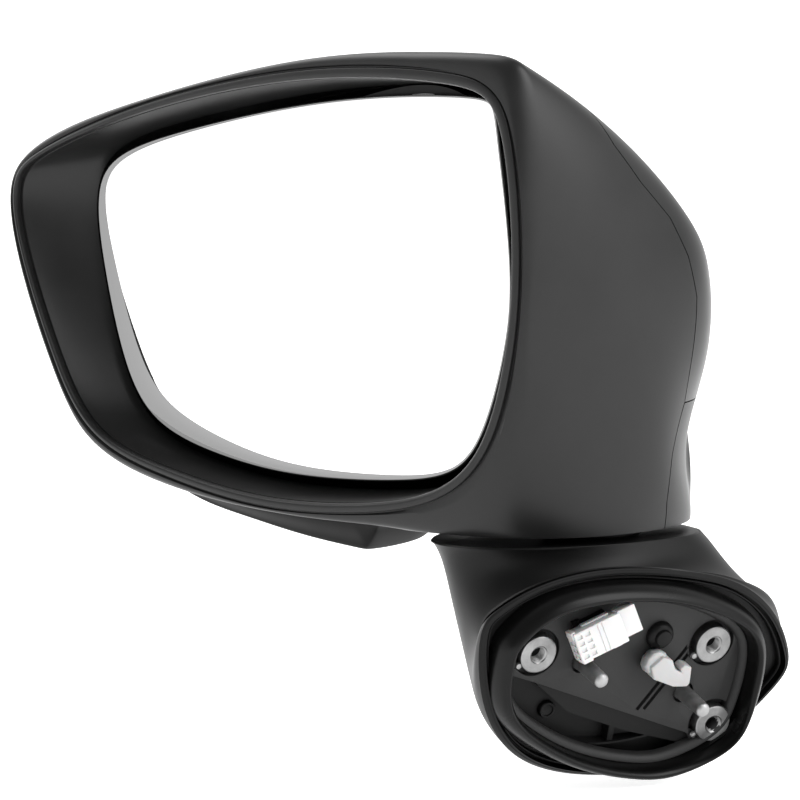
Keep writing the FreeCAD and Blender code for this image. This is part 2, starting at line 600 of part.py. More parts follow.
saddle = saddle.cut(Part.makeCylinder(case_radius + 0.02, 60, saddle_start, Vector(0, 1, 0)))
screw_bores = [Part.makeCylinder(1.6, 20, Vector(a, b, -frame_depth - 10), Vector(0, 0, 1)) for a, b in POSTS]
node("head_frame", solid_feature(frame_plate.fuse(saddle).cut(Part.makeCompound(screw_bores))), HEAD)
group("frame_screws", [fuse(cylinder(1.6, 13, at(a, b, -frame_depth - 3)),
                            cylinder(3.2, 2, at(a, b, -frame_depth - 5)))
                       for a, b in POSTS], HEAD)

# ---------------------------------------------------------------- glass actuator, about the tilt centre
case_front, case_back = -6.0, -24.0
actuator_radius = size("actuator_radius")
arm_length = size("screw_arm")
SCREWS = {"vertical": (0.0, -arm_length), "horizontal": (arm_length, 0.0)}
cup = cut(cylinder("actuator_radius", 16, at(0, 0, case_back)),
          cylinder("actuator_radius - 2", 20, at(0, 0, case_back + 2)))
node("actuator_case", cup, PIVOT)
lid_disc = cut(cylinder("actuator_radius", 2, at(0, 0, case_front - 2)),
               *[cylinder(9.0, 6, at(a, b, case_front - 4)) for a, b in SCREWS.values()])
ears = [cut(block((side * 17 - 1.5, -4, case_front), (side * 17 + 1.5, 4, 3.5)),
            cylinder("2 + running", 60, at(-30, 0, 0, ALONG_X))) for side in (-1, 1)]
node("actuator_lid", fuse(lid_disc, *ears), PIVOT)

ring = cut(cylinder(15, 5, at(0, 0, -2.5)), cylinder(12, 7, at(0, 0, -3.5)))
trunnions = [cylinder(2, 6, at(12.5, 0, 0, ALONG_X)), cylinder(2, 6, at(-18.5, 0, 0, ALONG_X)),
             cylinder(2, 6, at(0, 12.5, 0, ALONG_Y)), cylinder(2, 6, at(0, -18.5, 0, ALONG_Y))]
node("gimbal_ring", fuse(ring, *trunnions), PIVOT)

NUT_LOW, NUT_LENGTH = -18.0, 7.0
for name, (a, b) in SCREWS.items():
    nut = gear_solid(24, 8.2, 8.8, 9.4, NUT_LOW, NUT_LOW + NUT_LENGTH, 2.5 + running, 0)
    node("gear_nut_" + name, solid_feature(nut), PIVOT * at(a, b, 0))
    jackscrew = fuse(cylinder(2.5, 16.5, at(0, 0, -18)), sphere("ball_radius"))
    node("jackscrew_" + name, jackscrew, PIVOT * at(a, b, 0))

motor_upright = fuse(cylinder(5.8, 22, at(-12.5, -20, -14, ALONG_Y)),
                     cylinder(2.7, 13, at(-12.5, -33, -14, ALONG_Y)))
motor_level = fuse(cylinder(5.8, 22, at(-3, 12.5, -14, ALONG_X)),
                   cylinder(2.7, 14, at(19, 12.5, -14, ALONG_X)))
group("glass_motors", [motor_upright, motor_level], PIVOT)

# ---------------------------------------------------------------- glass, holder and heater
glass_front = -size("glass_depth")
glass_back = glass_front - size("glass_thick")
holder_front, holder_back = glass_back - 0.6, glass_back - 3.1
node("mirror_glass", solid_feature(prism(GLASS, glass_back, glass_front)), HEAD)
node("heater_pad", solid_feature(prism(inset(GLASS, 5), holder_front, glass_back)), HEAD)
holder_plate = prism(inset(GLASS, 2.2), holder_back, holder_front)
rim_strip = prism(inset(GLASS, 1.4), holder_front, glass_back)
rim_strip = rim_strip.cut(prism(inset(GLASS, 5), holder_front - 1, glass_back + 1))
holder_shape = holder_plate.fuse(rim_strip)
pivot_z_local = -size("pivot_depth")
holder_parts = []
for name, (a, b) in SCREWS.items():
    centre = Vector(size("pivot_w") + a, size("pivot_z") + b, pivot_z_local)
    column = Part.makeCylinder(6.5, holder_back - pivot_z_local + 5.5, centre - Vector(0, 0, 5.5))
    socket = Part.makeSphere(size("ball_radius") + 0.8, centre)
    mouth = Part.makeCylinder(size("ball_radius") + 0.8, 10, centre - Vector(0, 0, 10))
    holder_parts.append(column.cut(socket).cut(mouth))
for side in (-1, 1):
    low = Vector(size("pivot_w") - 4, size("pivot_z") + side * 17 - 1.5, pivot_z_local - 3.0)
    lug = Part.makeBox(8, 3, holder_back - pivot_z_local + 3.0, low)
    hole_start = Vector(size("pivot_w"), size("pivot_z") - 30, pivot_z_local)
    hole = Part.makeCylinder(2 + running, 60, hole_start, Vector(0, 1, 0))
    holder_parts.append(lug.cut(hole))
node("glass_holder", solid_feature(holder_shape.multiFuse(holder_parts)), HEAD)

# ---------------------------------------------------------------- checks and export
doc.recompute()
for item in doc.Objects:
    if "Invalid" in item.State or "Error" in item.State:
        raise RuntimeError(item.Label + " did not compute")
os.makedirs(OUT_FOLDER, exist_ok=True)
for item in NODES:
    if item.Shape.isNull() or not item.Shape.isValid():
        raise RuntimeError(item.Label + " has no valid shape")
    item.Shape.exportStep(os.path.join(OUT_FOLDER, item.Label + ".step"))
print(len(NODES), "parts written")
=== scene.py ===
"""The looks of a car side mirror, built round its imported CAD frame. Lengths in here are millimetres."""

import json
import math

import bmesh
import bpy
import numpy as np
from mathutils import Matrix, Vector


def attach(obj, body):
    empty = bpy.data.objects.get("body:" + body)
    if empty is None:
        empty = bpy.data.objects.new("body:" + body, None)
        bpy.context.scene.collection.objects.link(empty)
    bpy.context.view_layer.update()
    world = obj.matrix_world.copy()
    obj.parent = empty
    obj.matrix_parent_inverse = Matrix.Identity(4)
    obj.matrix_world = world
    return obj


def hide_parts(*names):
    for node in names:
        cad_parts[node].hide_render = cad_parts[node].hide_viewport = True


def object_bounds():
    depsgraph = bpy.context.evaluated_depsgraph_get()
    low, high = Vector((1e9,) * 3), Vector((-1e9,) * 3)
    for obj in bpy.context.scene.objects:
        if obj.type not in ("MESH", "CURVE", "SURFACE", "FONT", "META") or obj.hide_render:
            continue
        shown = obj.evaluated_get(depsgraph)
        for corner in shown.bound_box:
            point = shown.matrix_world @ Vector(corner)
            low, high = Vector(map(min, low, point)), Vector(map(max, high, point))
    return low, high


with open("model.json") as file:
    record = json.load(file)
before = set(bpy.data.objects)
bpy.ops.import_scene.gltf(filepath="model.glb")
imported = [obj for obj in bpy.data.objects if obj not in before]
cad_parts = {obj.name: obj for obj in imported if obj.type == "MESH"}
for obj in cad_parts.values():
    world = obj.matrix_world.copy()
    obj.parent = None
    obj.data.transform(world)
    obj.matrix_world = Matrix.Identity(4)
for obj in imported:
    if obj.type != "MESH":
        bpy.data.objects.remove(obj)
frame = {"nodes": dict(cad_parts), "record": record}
cad_low, cad_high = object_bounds()

MM = 0.001
ACROSS = 256            # points round a head or foot section


# ------------------------------------------------------------------ frames of reference
def frame_matrix(origin, x_axis, y_axis, z_axis):
    rows = [[x_axis[i], y_axis[i], z_axis[i], origin[i]] for i in range(3)]
    return np.array(rows + [[0, 0, 0, 1]], float)


def unit(*parts):
    vector = np.array(parts, float)
    return vector / np.linalg.norm(vector)


RIM_TURN, TILT = math.radians(27), math.radians(18)
ALONG_RIM = np.array([math.cos(RIM_TURN), math.sin(RIM_TURN), 0.0])
TO_DRIVER = np.array([math.sin(RIM_TURN), -math.cos(RIM_TURN), 0.0])
UP = np.array([0.0, 0.0, 1.0])
# HEAD: x inboard along the rim, y up, z towards the driver. FOOT: x forwards, y up the door, z into the car.
HEAD = frame_matrix((-35, -75, 0), ALONG_RIM, UP, TO_DRIVER)
FOOT = frame_matrix((0, 0, 0), (0, 1, 0), (math.sin(TILT), 0, math.cos(TILT)),
                    (math.cos(TILT), 0, -math.sin(TILT)))
WORLD = np.eye(4)
FOLD_POINT = np.array([-46.2013, -13.3678])
NECK_Z, FOOT_TOP = 58.0, 55.0        # underside of the head's neck, top of the foot


def to_world(points, place):
    points = np.asarray(points, float).reshape(-1, 3)
    return (points @ place[:3, :3].T + place[:3, 3]) * MM


# ------------------------------------------------------------------ curves and meshes
def spline_rows(count, closed, params):
    """Weights that sample a smooth curve through count points at the given parameters."""
    def basis(values):
        rows = np.zeros((len(values), count))
        last = count - 1 if closed else count - 2
        for k, value in enumerate(values):
            i = min(int(value + 1e-9), last)
            f = value - i
            weights = ((1 - f) ** 3, 3 * f ** 3 - 6 * f ** 2 + 4, -3 * f ** 3 + 3 * f ** 2 + 3 * f + 1, f ** 3)
            for offset, weight in zip((-1, 0, 1, 2), weights):
                j = i + offset
                if closed:
                    rows[k, j % count] += weight / 6
                elif j < 0:
                    rows[k, 0] += weight / 3
                    rows[k, 1] -= weight / 6
                elif j > count - 1:
                    rows[k, -1] += weight / 3
                    rows[k, -2] -= weight / 6
                else:
                    rows[k, j] += weight / 6
        return rows
    return basis(params) @ np.linalg.inv(basis(range(count)))


def smooth_closed(outline, samples=ACROSS):
    outline = np.array(outline, float)
    count = len(outline)
    return spline_rows(count, True, np.arange(samples) * count / samples) @ outline


def station_values(values, samples=ACROSS):
    """A value at each sample of a closed outline from one value at each of its stations."""
    return spline_rows(len(values), True, np.arange(samples) * len(values) / samples) @ np.array(values, float)


def inset(outline, amount):
    """Moves a closed outline inwards by amount, square to its own run."""
    points = np.array(outline, float)
    ahead, behind = np.roll(points, -1, 0), np.roll(points, 1, 0)
    area = np.sum(behind[:, 0] * points[:, 1] - points[:, 0] * behind[:, 1])
    run = ahead - behind
    run /= np.linalg.norm(run, axis=1)[:, None]
    normal = np.stack([-run[:, 1], run[:, 0]], 1) * (1 if area > 0 else -1)
    return points + normal * np.asarray(amount).reshape(-1, 1)


def lifted(outline, height):
    """Outline points in a local XY plane, at a height along local Z."""
    outline = np.asarray(outline, float)
    return np.column_stack([outline, np.broadcast_to(height, len(outline))])


def ring_faces(rings, around, close_rings=False):
    faces = []
    for r in range(rings if close_rings else rings - 1):
        a, b = r * around, (r + 1) % rings * around
        for i in range(around):
            j = (i + 1) % around
            faces.append((a + i, a + j, b + j, b + i))
    return faces


def new_mesh(name, points, faces):
    mesh = bpy.data.meshes.new(name)
    mesh.from_pydata([tuple(p) for p in points], [], faces)
    mesh.validate()
    work = bmesh.new()
    work.from_mesh(mesh)
    bmesh.ops.remove_doubles(work, verts=work.verts, dist=1e-6)
    bmesh.ops.recalc_face_normals(work, faces=work.faces)
    work.to_mesh(mesh)
    work.free()
    return mesh


def new_object(name, mesh):
    item = bpy.data.objects.new(name, mesh)
    bpy.context.scene.collection.objects.link(item)
    return item


def rings_object(name, rings, place, close_rings=False, cap_ends=False):
    """A skin through rings of equal length. Rings are lists of local points."""
    around = len(rings[0])
    points = np.concatenate([to_world(r, place) for r in rings])
    faces = ring_faces(len(rings), around, close_rings)
    if cap_ends:
        faces.append(tuple(range(around)))
        faces.append(tuple(range((len(rings) - 1) * around, len(rings) * around)))
    return new_object(name, new_mesh(name, points, faces))


def prism_object(name, outline, low, high, place):
    return rings_object(name, [lifted(outline, low), lifted(outline, high)], place, cap_ends=True)


def swept_profile(name, outline, profile, place):
    """A closed profile of (inset, height) points carried round a closed outline."""
    rings = [lifted(inset(outline, a), h) for a, h in profile]
    return rings_object(name, rings, place, close_rings=True)


def lathe_object(name, profile, place, centre=(0, 0), sides=64):
    """A closed turned shape from (radius, height) points about a local Z axis through centre."""
    rings = []
    for radius, height in profile:
        turn = np.arange(sides) * 2 * math.pi / sides
        ring = np.column_stack([centre[0] + radius * np.cos(turn), centre[1] + radius * np.sin(turn)])
        rings.append(lifted(ring, height))
    return rings_object(name, rings, place, cap_ends=True)


def bevelled(item, width, segments=3, angle=35):
    rounding = item.modifiers.new("rounding", "BEVEL")
    rounding.width = width * MM
    rounding.segments = segments
    rounding.limit_method = "ANGLE"
    rounding.angle_limit = math.radians(angle)
    return item


def apply_modifiers(item):
    graph = bpy.context.evaluated_depsgraph_get()
    mesh = bpy.data.meshes.new_from_object(item.evaluated_get(graph))
    item.modifiers.clear()
    old, item.data = item.data, mesh
    bpy.data.meshes.remove(old)
    return item


def boolean(item, tool, operation):
    """Cuts or keeps what the tool covers, then removes the tool."""
    step = item.modifiers.new("boolean", "BOOLEAN")
    step.operation = operation
    step.object = tool
    step.solver = "EXACT"
    apply_modifiers(item)
    bpy.data.objects.remove(tool)
    return item


def joined(name, items):
    """Several meshes as one object."""
    work = bmesh.new()
    for item in items:
        work.from_mesh(item.data)
    mesh = bpy.data.meshes.new(name)
    work.to_mesh(mesh)
    work.free()
    for item in items:
        bpy.data.objects.remove(item)
    return new_object(name, mesh)


def finished(item, body, material, replaces=(), sharp=32):
    """Gives a piece its smooth shading, material, body and slot."""
    item.data.materials.clear()
    item.data.materials.append(material)
    for face in item.data.polygons:
        face.use_smooth = True
        face.material_index = 0
    item.data.set_sharp_from_angle(angle=math.radians(sharp))
    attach(item, body)
    if replaces:
        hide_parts(*replaces)
    return item


# ------------------------------------------------------------------ materials
SMUDGE = 0.03            # how far the gloss of a plastic drifts each way


def new_material(name):
    material = bpy.data.materials.new(name)
    material.use_nodes = True
    tree = material.node_tree
    return material, tree, tree.nodes["Principled BSDF"]


def add_node(tree, kind, inputs=None, **settings):
    item = tree.nodes.new("ShaderNode" + kind)
    for key, value in settings.items():
        setattr(item, key, value)
    for key, value in (inputs or {}).items():
        if isinstance(value, bpy.types.NodeSocket):
            tree.links.new(value, item.inputs[key])
        else:
            item.inputs[key].default_value = value
    return item


def grain_bump(tree, shader, layers):
    """Stacks bump layers of (texture output, strength, distance in mm) and links them to the shader."""
    normal = None
    for height, strength, distance in layers:
        inputs = {"Strength": strength, "Distance": distance * MM, "Height": height}
        if normal is not None:
            inputs["Normal"] = normal
        normal = add_node(tree, "Bump", inputs).outputs[0]
    tree.links.new(normal, shader.inputs["Normal"])


def colour_ramp(tree, factor, low, high, start=0.0, end=1.0):
    ramp = add_node(tree, "ValToRGB", {"Fac": factor})
    ramp.color_ramp.elements[0].position = start
    ramp.color_ramp.elements[0].color = low
    ramp.color_ramp.elements[1].position = end
    ramp.color_ramp.elements[1].color = high
    return ramp.outputs[0]


def grey(value, tint=0.0):
    return (value, value * (1 - tint * 0.4), value * (1 + tint * 0.2), 1.0)


def place_texture(tree):
    return add_node(tree, "NewGeometry").outputs["Position"]


def moulded_plastic(name, shade, roughness, grain, grain_size, variation=0.12, specular=0.5):
    """Black or coloured moulded plastic: a fine spark-eroded grain, cloudy gloss and a little colour drift."""
    material, tree, shader = new_material(name)
    where = place_texture(tree)
    cloud = add_node(tree, "TexNoise", {"Vector": where, "Scale": 34.0, "Detail": 4.0, "Roughness": 0.55})
    fine = add_node(tree, "TexNoise", {"Vector": where, "Scale": 900.0 / grain_size, "Detail": 3.0,
                                       "Roughness": 0.6})
    low, high = grey(shade * (1 - variation)), grey(shade * (1 + variation))
    tree.links.new(colour_ramp(tree, cloud.outputs[0], low, high, 0.35, 0.65), shader.inputs["Base Color"])
    gloss = add_node(tree, "MapRange", {"Value": cloud.outputs[0], "From Min": 0.35, "From Max": 0.65,
                                        "To Min": roughness - SMUDGE, "To Max": roughness + SMUDGE})
    tree.links.new(gloss.outputs[0], shader.inputs["Roughness"])
    shader.inputs["Specular IOR Level"].default_value = specular
    grain_bump(tree, shader, [(cloud.outputs[0], 0.06, 0.3), (fine.outputs[0], grain, 0.05)])
    return material


TEXTURED_BLACK = moulded_plastic("textured_black", 0.012, 0.36, grain=0.35, grain_size=0.35, specular=0.3)
SMOOTH_BLACK = moulded_plastic("smooth_black", 0.012, 0.32, grain=0.05, grain_size=0.3, specular=0.35)
COVER_BLACK = moulded_plastic("cover_black", 0.004, 0.42, grain=0.3, grain_size=0.35, specular=0.17)
# a darker, rougher, less glossy black for the lower cover's underside: painted shade
UNDERSIDE_PAINTED_SHADE_BLACK = moulded_plastic("underside_painted_shade_black", 0.006, 0.55, grain=0.3, grain_size=0.35, specular=0.15)
LINER_BLACK = moulded_plastic("liner_black", 0.018, 0.5, grain=0.3, grain_size=0.5, specular=0.3)
RECESS_BLACK = moulded_plastic("recess_black", 0.006, 0.5, grain=0.3, grain_size=0.5, specular=0.2)
GASKET_RUBBER = moulded_plastic("gasket_rubber", 0.003, 0.3, grain=0.12, grain_size=0.4, specular=0.18)
FRAME_BLACK = moulded_plastic("frame_black", 0.008, 0.5, grain=0.3, grain_size=0.6, specular=0.2)
NYLON_BLACK = moulded_plastic("nylon_black", 0.006, 0.45, grain=0.2, grain_size=0.5, specular=0.15)
WHITE_NYLON = moulded_plastic("white_nylon", 0.44, 0.36, grain=0.06, grain_size=0.6, variation=0.05)
WHITE_PLUG = moulded_plastic("white_plug", 0.64, 0.34, grain=0.05, grain_size=0.5, variation=0.03)
ACETAL = moulded_plastic("acetal", 0.6, 0.35, grain=0.08, grain_size=0.6, variation=0.04)
for clouded in (WHITE_NYLON, WHITE_PLUG, ACETAL):
    clouded_shader = clouded.node_tree.nodes["Principled BSDF"]
    clouded_shader.inputs["Subsurface Weight"].default_value = 0.25
    clouded_shader.inputs["Subsurface Scale"].default_value = 0.0015


def bare_metal(name, shade, roughness, grain, scale, tip=None):
    """Cast or machined metal; tip is (height along the door face's axis, shade) for brighter ends."""
    material, tree, shader = new_material(name)
    where = place_texture(tree)
    cloud = add_node(tree, "TexNoise", {"Vector": where, "Scale": 160.0, "Detail": 5.0, "Roughness": 0.65})
    fine = add_node(tree, "TexNoise", {"Vector": where, "Scale": scale, "Detail": 4.0, "Roughness": 0.7})
    colour = colour_ramp(tree, cloud.outputs[0], grey(shade * 0.72), grey(shade * 1.15), 0.3, 0.7)
    if tip:
        height, bright = tip
        axis = [float(v) for v in FOOT[:3, 2]]
        along = add_node(tree, "VectorMath", {0: where, 1: axis}, operation="DOT_PRODUCT").outputs["Value"]
        share = add_node(tree, "MapRange", {"Value": along, "From Min": (height - 0.9) * MM,
                                            "From Max": height * MM})
        colour = add_node(tree, "Mix", {"Factor": share.outputs[0], "A": colour, "B": grey(bright)},
                          data_type="RGBA").outputs["Result"]
    tree.links.new(colour, shader.inputs["Base Color"])
    gloss = add_node(tree, "MapRange", {"Value": cloud.outputs[0], "From Min": 0.3, "From Max": 0.7,
                                        "To Min": roughness - 0.08, "To Max": roughness + 0.08})
    tree.links.new(gloss.outputs[0], shader.inputs["Roughness"])
    shader.inputs["Metallic"].default_value = 1.0
    grain_bump(tree, shader, [(cloud.outputs[0], 0.15, 0.2), (fine.outputs[0], grain, 0.08)])
    return material


DIE_CAST = bare_metal("die_cast", 0.35, 0.5, 0.5, 900.0)
PIN_CAST = bare_metal("cast_pin", 0.3, 0.55, 0.6, 1100.0, tip=(13.2, 0.42))
MACHINED = bare_metal("machined_casting", 0.32, 0.36, 0.45, 1500.0)
STEEL = bare_metal("steel", 0.6, 0.3, 0.2, 1200.0)
HEATER_FOIL = bare_metal("heater_foil", 0.5, 0.4, 0.3, 500.0)

# ------------------------------------------------------------------ head shell outlines
# Both run over the top from the outboard tip, then down the flank and back along the bottom,
# as (0..1 from outboard to inboard, 0..1 from the lower to the upper limit of a section).
RIM_SHAPE = [(0, 0.81), (0.064, 0.922), (0.281, 0.979), (0.6, 1.012), (0.906, 0.986), (0.979, 0.919),
             (1, 0.588), (0.987, 0.33), (0.936, 0.166), (0.851, 0.055), (0.715, 0.005), (0.515, 0.008),
             (0.289, 0.053), (0.157, 0.153), (0.089, 0.325), (0.0255, 0.58)]
BODY_SHAPE = [(0, 0.72), (0.06, 0.90), (0.26, 1.01), (0.6, 1.06), (0.88, 1.02), (0.975, 0.90),
              (1, 0.6), (0.99, 0.27), (0.985, 0.02), (0.92, -0.07), (0.715, -0.01), (0.5, 0.0),
              (0.28, 0.04), (0.14, 0.13), (0.06, 0.3), (0.01, 0.52)]
# depth, outboard and inboard limits, top outboard and inboard, underside outboard and inboard,
# share of BODY_SHAPE, and how far the neck is drawn in
HEAD_SECTIONS = [
    (0, -208, 27, 205, 240, 62, 58, 0, 0),
    (7, -207, 32, 204, 235, 61, 58, 0.5, 0),
    (30, -195, 43, 200, 220, 62, 57, 1, 0),
    (60, -158, 51, 194, 196, 62, 56, 1, 0),
    (85, -105, 54, 182, 170, 66, 56, 1, 8),
    (101, -55, 45, 170, 156, 76, 60, 1, 9),
    (108, -20, 36, 156, 146, 96, 78, 1, 5),
    (111.5, 0, 22, 136, 130, 108, 104, 1, 0),
]
# how much of that drawing in each station takes
NECK_STATIONS = {6: 0.35, 7: 1.15, 8: 0.85, 9: 1.0}
RIM_INNER = [(-204, 176), (-188, 190.5), (-138, 208), (-67, 220.8), (-6, 220.8), (16.6, 206),
             (22, 160), (18.5, 122), (9, 93), (-9, 75.5), (-40, 67.5), (-87, 66),
             (-133, 73.5), (-167, 87), (-186, 115), (-200, 150)]
GLASS = [(-178.5, 172), (-168, 188.5), (-130, 201), (-66, 213), (-8, 216), (5, 203),
         (10.4, 158), (8.4, 125), (0, 97), (-14, 79.5), (-42, 73.5), (-84, 72.5),
         (-121, 77.5), (-151, 89), (-167, 113), (-176, 147)]
SKIN = 1.9               # wall of the head's covers
RIM_DEPTH = 22.0         # from the rim to the throat round the glass
# A bead runs round the opening, with a shallow crease beside it. Its width goes by the stations of RIM_INNER.
BEAD_WIDTHS = [2.6, 2.8, 3.4, 4.4, 5.0, 4.8, 4.4, 4.4, 4.4, 4.2, 4.2, 4.0, 3.6, 3.2, 2.8, 2.6]
BEAD_HEIGHT, CREASE_DROP = 2.3, 0.9
# the rounding on to the crease is this share of the rim's width and this much more, between two limits
REACH_SHARE, REACH_EXTRA, REACH_LIMITS = 0.75, 1.5, (2.6, 8.5)
THROAT_GAP = 3.5         # clearance round the glass


def head_outline(section):
    depth, out_limit, in_limit, top_out, top_in, low_out, low_in, share, neck = section
    outline = []
    for station, (rim, body) in enumerate(zip(RIM_SHAPE, BODY_SHAPE)):
        across = rim[0] + (body[0] - rim[0]) * share
        rise = rim[1] + (body[1] - rim[1]) * share
        low = low_out + across * (low_in - low_out)
        top = top_out + across * (top_in - top_out)
        along = out_limit + across * (in_limit - out_limit) - neck * NECK_STATIONS.get(station, 0.0)
        outline.append((along, low + rise * (top - low), -depth))
    return outline


def surface_rings(stations, params):
    """Rings of a surface through sections of stations, at parameters along the sections."""
    stations = np.array(stations, float)
    count = stations.shape[1]
    around = spline_rows(count, True, np.arange(ACROSS) * count / ACROSS)
    along = spline_rows(len(stations), False, params)
    return np.einsum("ai,bj,jic->bac", around, along, stations)


def build_head_shell():
    """The closed skin of the head: flank, crease, bead, funnel down to the glass, and the inside."""
    outer_stations = [head_outline(s) for s in HEAD_SECTIONS]
    inner_stations = []
    for section in HEAD_SECTIONS[:-1]:
        outline = np.array(head_outline(section))
        depth = min(max(section[0], SKIN), HEAD_SECTIONS[-1][0] - SKIN)
        inner_stations.append(lifted(inset(outline[:, :2], SKIN), -depth))
    outer = surface_rings(outer_stations, np.concatenate([np.linspace(7, 2.05, 70), np.linspace(2, 0.2, 84)]))
    inner = surface_rings(inner_stations, np.linspace(0.25, 6, 40))
    rim_inner = smooth_closed(RIM_INNER)
    # The flank and the roof round over on to the crease beside the bead, wider where the rim is wide.
    rim_edge = surface_rings(outer_stations, [0.0])[0][:, :2]
    crease = inset(rim_inner, -station_values(BEAD_WIDTHS))
    run = crease - rim_edge
    width = np.linalg.norm(run, axis=1)
    reach = np.clip(REACH_SHARE * width + REACH_EXTRA, *REACH_LIMITS)
    end = -outer[-1][:, 2]
    for ring in outer:
        share = np.clip((reach + ring[:, 2]) / (reach - end), 0, 1)
        ring[:, :2] += run * (1 - np.sqrt(np.clip(1 - share ** 2, 0, 1)))[:, None]
    for ring in inner:
        share = np.clip((reach + SKIN + ring[:, 2]) / reach, 0, 1)
        ring[:, :2] += run * (1 - np.sqrt(np.clip(1 - share ** 2, 0, 1)))[:, None]
    rim_outer = outer[-1]
    throat = smooth_closed(inset(GLASS, -THROAT_GAP))
    rings = []
    # nose of the head, closed by a slight dome
    nose = outer[0]
    centre = nose.mean(0)
    for share in (0.02, 0.3, 0.6, 0.85):
        ring = centre + (nose - centre) * share
        ring[:, 2] -= 1.2 * (1 - share ** 2)
        rings.append(ring)
    rings += list(outer)
    # the crease, then the rounded bead
    ground = -rim_outer[:, 2]
    rings.append(np.column_stack([inset(crease, 0.25), -ground - CREASE_DROP]))
    rings.append(np.column_stack([inset(crease, 0.6), -ground - CREASE_DROP]))
    start = inset(crease, 0.85)
    middle = (start + rim_inner) / 2
    bead = np.full(ACROSS, BEAD_HEIGHT)
    for turn in np.linspace(0, math.pi, 21):
        flat = middle + (start - middle) * math.cos(turn)
        foot = ground + (bead - ground) * (1 - math.cos(turn)) / 2
        rings.append(np.column_stack([flat, -foot * (1 - math.sin(turn))]))
    # a small step, the funnel wall down to the throat, and the back of the funnel
    rings.append(np.column_stack([inset(rim_inner, -0.45), -bead - 0.5]))
    rings.append(np.column_stack([inset(rim_inner, -0.35), -bead - 1.1]))
    for share in np.linspace(0.06, 1, 14):
        flat = rim_inner + (throat - rim_inner) * share ** 1.15
        rings.append(np.column_stack([flat, -(bead + (RIM_DEPTH - bead) * share)]))
    rings.append(lifted(inset(throat, -0.5), -RIM_DEPTH - 0.4))
    rings.append(lifted(inset(throat, -2.2), -RIM_DEPTH))
    rings.append(lifted(inset(rim_inner, -2.4), -SKIN - 3.0))
    rings += list(inner)
    inner_centre = inner[-1].mean(0)
    for share in (0.6, 0.3, 0.02):
        rings.append(inner_centre + (inner[-1] - inner_centre) * share)
    return rings_object("head_shell", rings, HEAD, cap_ends=True)


# Seams on the flank as (depth, height); each runs on across the head along the rim.
CAP_SEAM = [(29, 260), (31, 222), (41, 199), (51.5, 185), (65, 171.5), (73, 157), (77, 142), (76, 103)]
LOW_SEAM = [(76, 103), (68, 85), (64, 68), (63, 40)]
SPLIT_HEIGHT, NOSE_DEPTH = 103, 140
# outline of the shell's part that belongs to the lower cover under the rim
KEEL_ZONE = [(27, 30), (27, 72), (66, 90), (72, 90), (66, 76), (64, 60), (64, 30)]
# under the rim, as (along, height)
UNDER_RIM = [(-158, 80.5), (-150, 77), (-133, 70.5), (-100, 65), (-87, 63.2), (-40, 62.5), (-12, 62), (-12, 40),
             (-170, 40)]
UNDER_DEPTH = 8.0
# faces of the lower cover nearer the rim than this are its underside, which takes a darker, rougher copy of the
# black as painted shade
UNDERSIDE_DEPTH = 62.5
GAP = 0.25               # half the width of a seam
# along, height of the shell's underside, height of the keel's underside
KEEL = [(-158, 79, 76.5), (-133, 69.5, 62), (-107, 63, 55.2), (-80, 60.5, 50.2), (-57, 59.5, 47.4),
        (-50.5, 59.3, 48.2), (-46.5, 59.2, 54), (-41, 59.1, 58.2), (-22, 58.6, 58.3), (-13, 58.4, 58.4)]
# depth, share of the keel's full height
KEEL_DEPTHS = [(8.3, 0.02), (10, 0.35), (14, 0.78), (20, 1.0), (46, 1.0), (58, 0.7), (72, 0.0)]
# Behind the first depth the keel's outboard end draws in towards its tip, as the head does, down to a
# share of its length at the last depth.
KEEL_FULL, KEEL_END, KEEL_SHORT, KEEL_TIP = 20.0, 72.0, 0.4, -57.0


def across_prism(outline, low=-260, high=100):
    """A prism along the rim from an outline of (depth, height)."""
    return rings_object("zone", [[(along, rise, -depth) for depth, rise in outline] for along in (low, high)],
                        HEAD, cap_ends=True)


def cap_zone(margin):
    seam = [(depth - margin, rise) for depth, rise in CAP_SEAM]
    seam[-1] = (seam[-1][0], SPLIT_HEIGHT - margin)
    return across_prism(seam + [(NOSE_DEPTH, SPLIT_HEIGHT - margin), (NOSE_DEPTH, 260)])


def low_zone(margin):
    seam = [(depth - margin, rise) for depth, rise in LOW_SEAM]
    seam[0] = (seam[0][0], SPLIT_HEIGHT + margin)
    return across_prism(seam + [(NOSE_DEPTH, 40), (NOSE_DEPTH, SPLIT_HEIGHT + margin)])


def keel_zone():
    """The part of the shell behind the keel, which ends short of the neck."""
    return across_prism(KEEL_ZONE, high=-52)


def under_zone(margin):
    return prism_object("zone", UNDER_RIM, -28, -UNDER_DEPTH + margin, HEAD)


def copy_of(item):
    """A copy with a mesh of its own."""
    return new_object(item.name, item.data.copy())


def build_keel():
    """The keel under the rim, fading into the shell front and back."""
    stations = np.array(KEEL, float)
    line = spline_rows(len(KEEL), False, np.linspace(0, len(KEEL) - 1, 110)) @ stations
    rings = []
    depths = spline_rows(len(KEEL_DEPTHS), False, np.linspace(0, len(KEEL_DEPTHS) - 1, 40)) @ np.array(KEEL_DEPTHS)
    for depth, share in depths:
        under = line[:, 1] + 0.3 + (line[:, 2] - line[:, 1] - 0.3) * share
        drawn_in = 1 - (1 - KEEL_SHORT) * max(depth - KEEL_FULL, 0) / (KEEL_END - KEEL_FULL)
        along = np.where(line[:, 0] < KEEL_TIP, KEEL_TIP + (line[:, 0] - KEEL_TIP) * drawn_in, line[:, 0])
        ring = np.concatenate([np.column_stack([along, under]), np.column_stack([along, line[:, 1] + 1.2])[::-1]])
        rings.append(lifted(ring, -depth))
    return rings_object("keel", rings, HEAD, cap_ends=True)


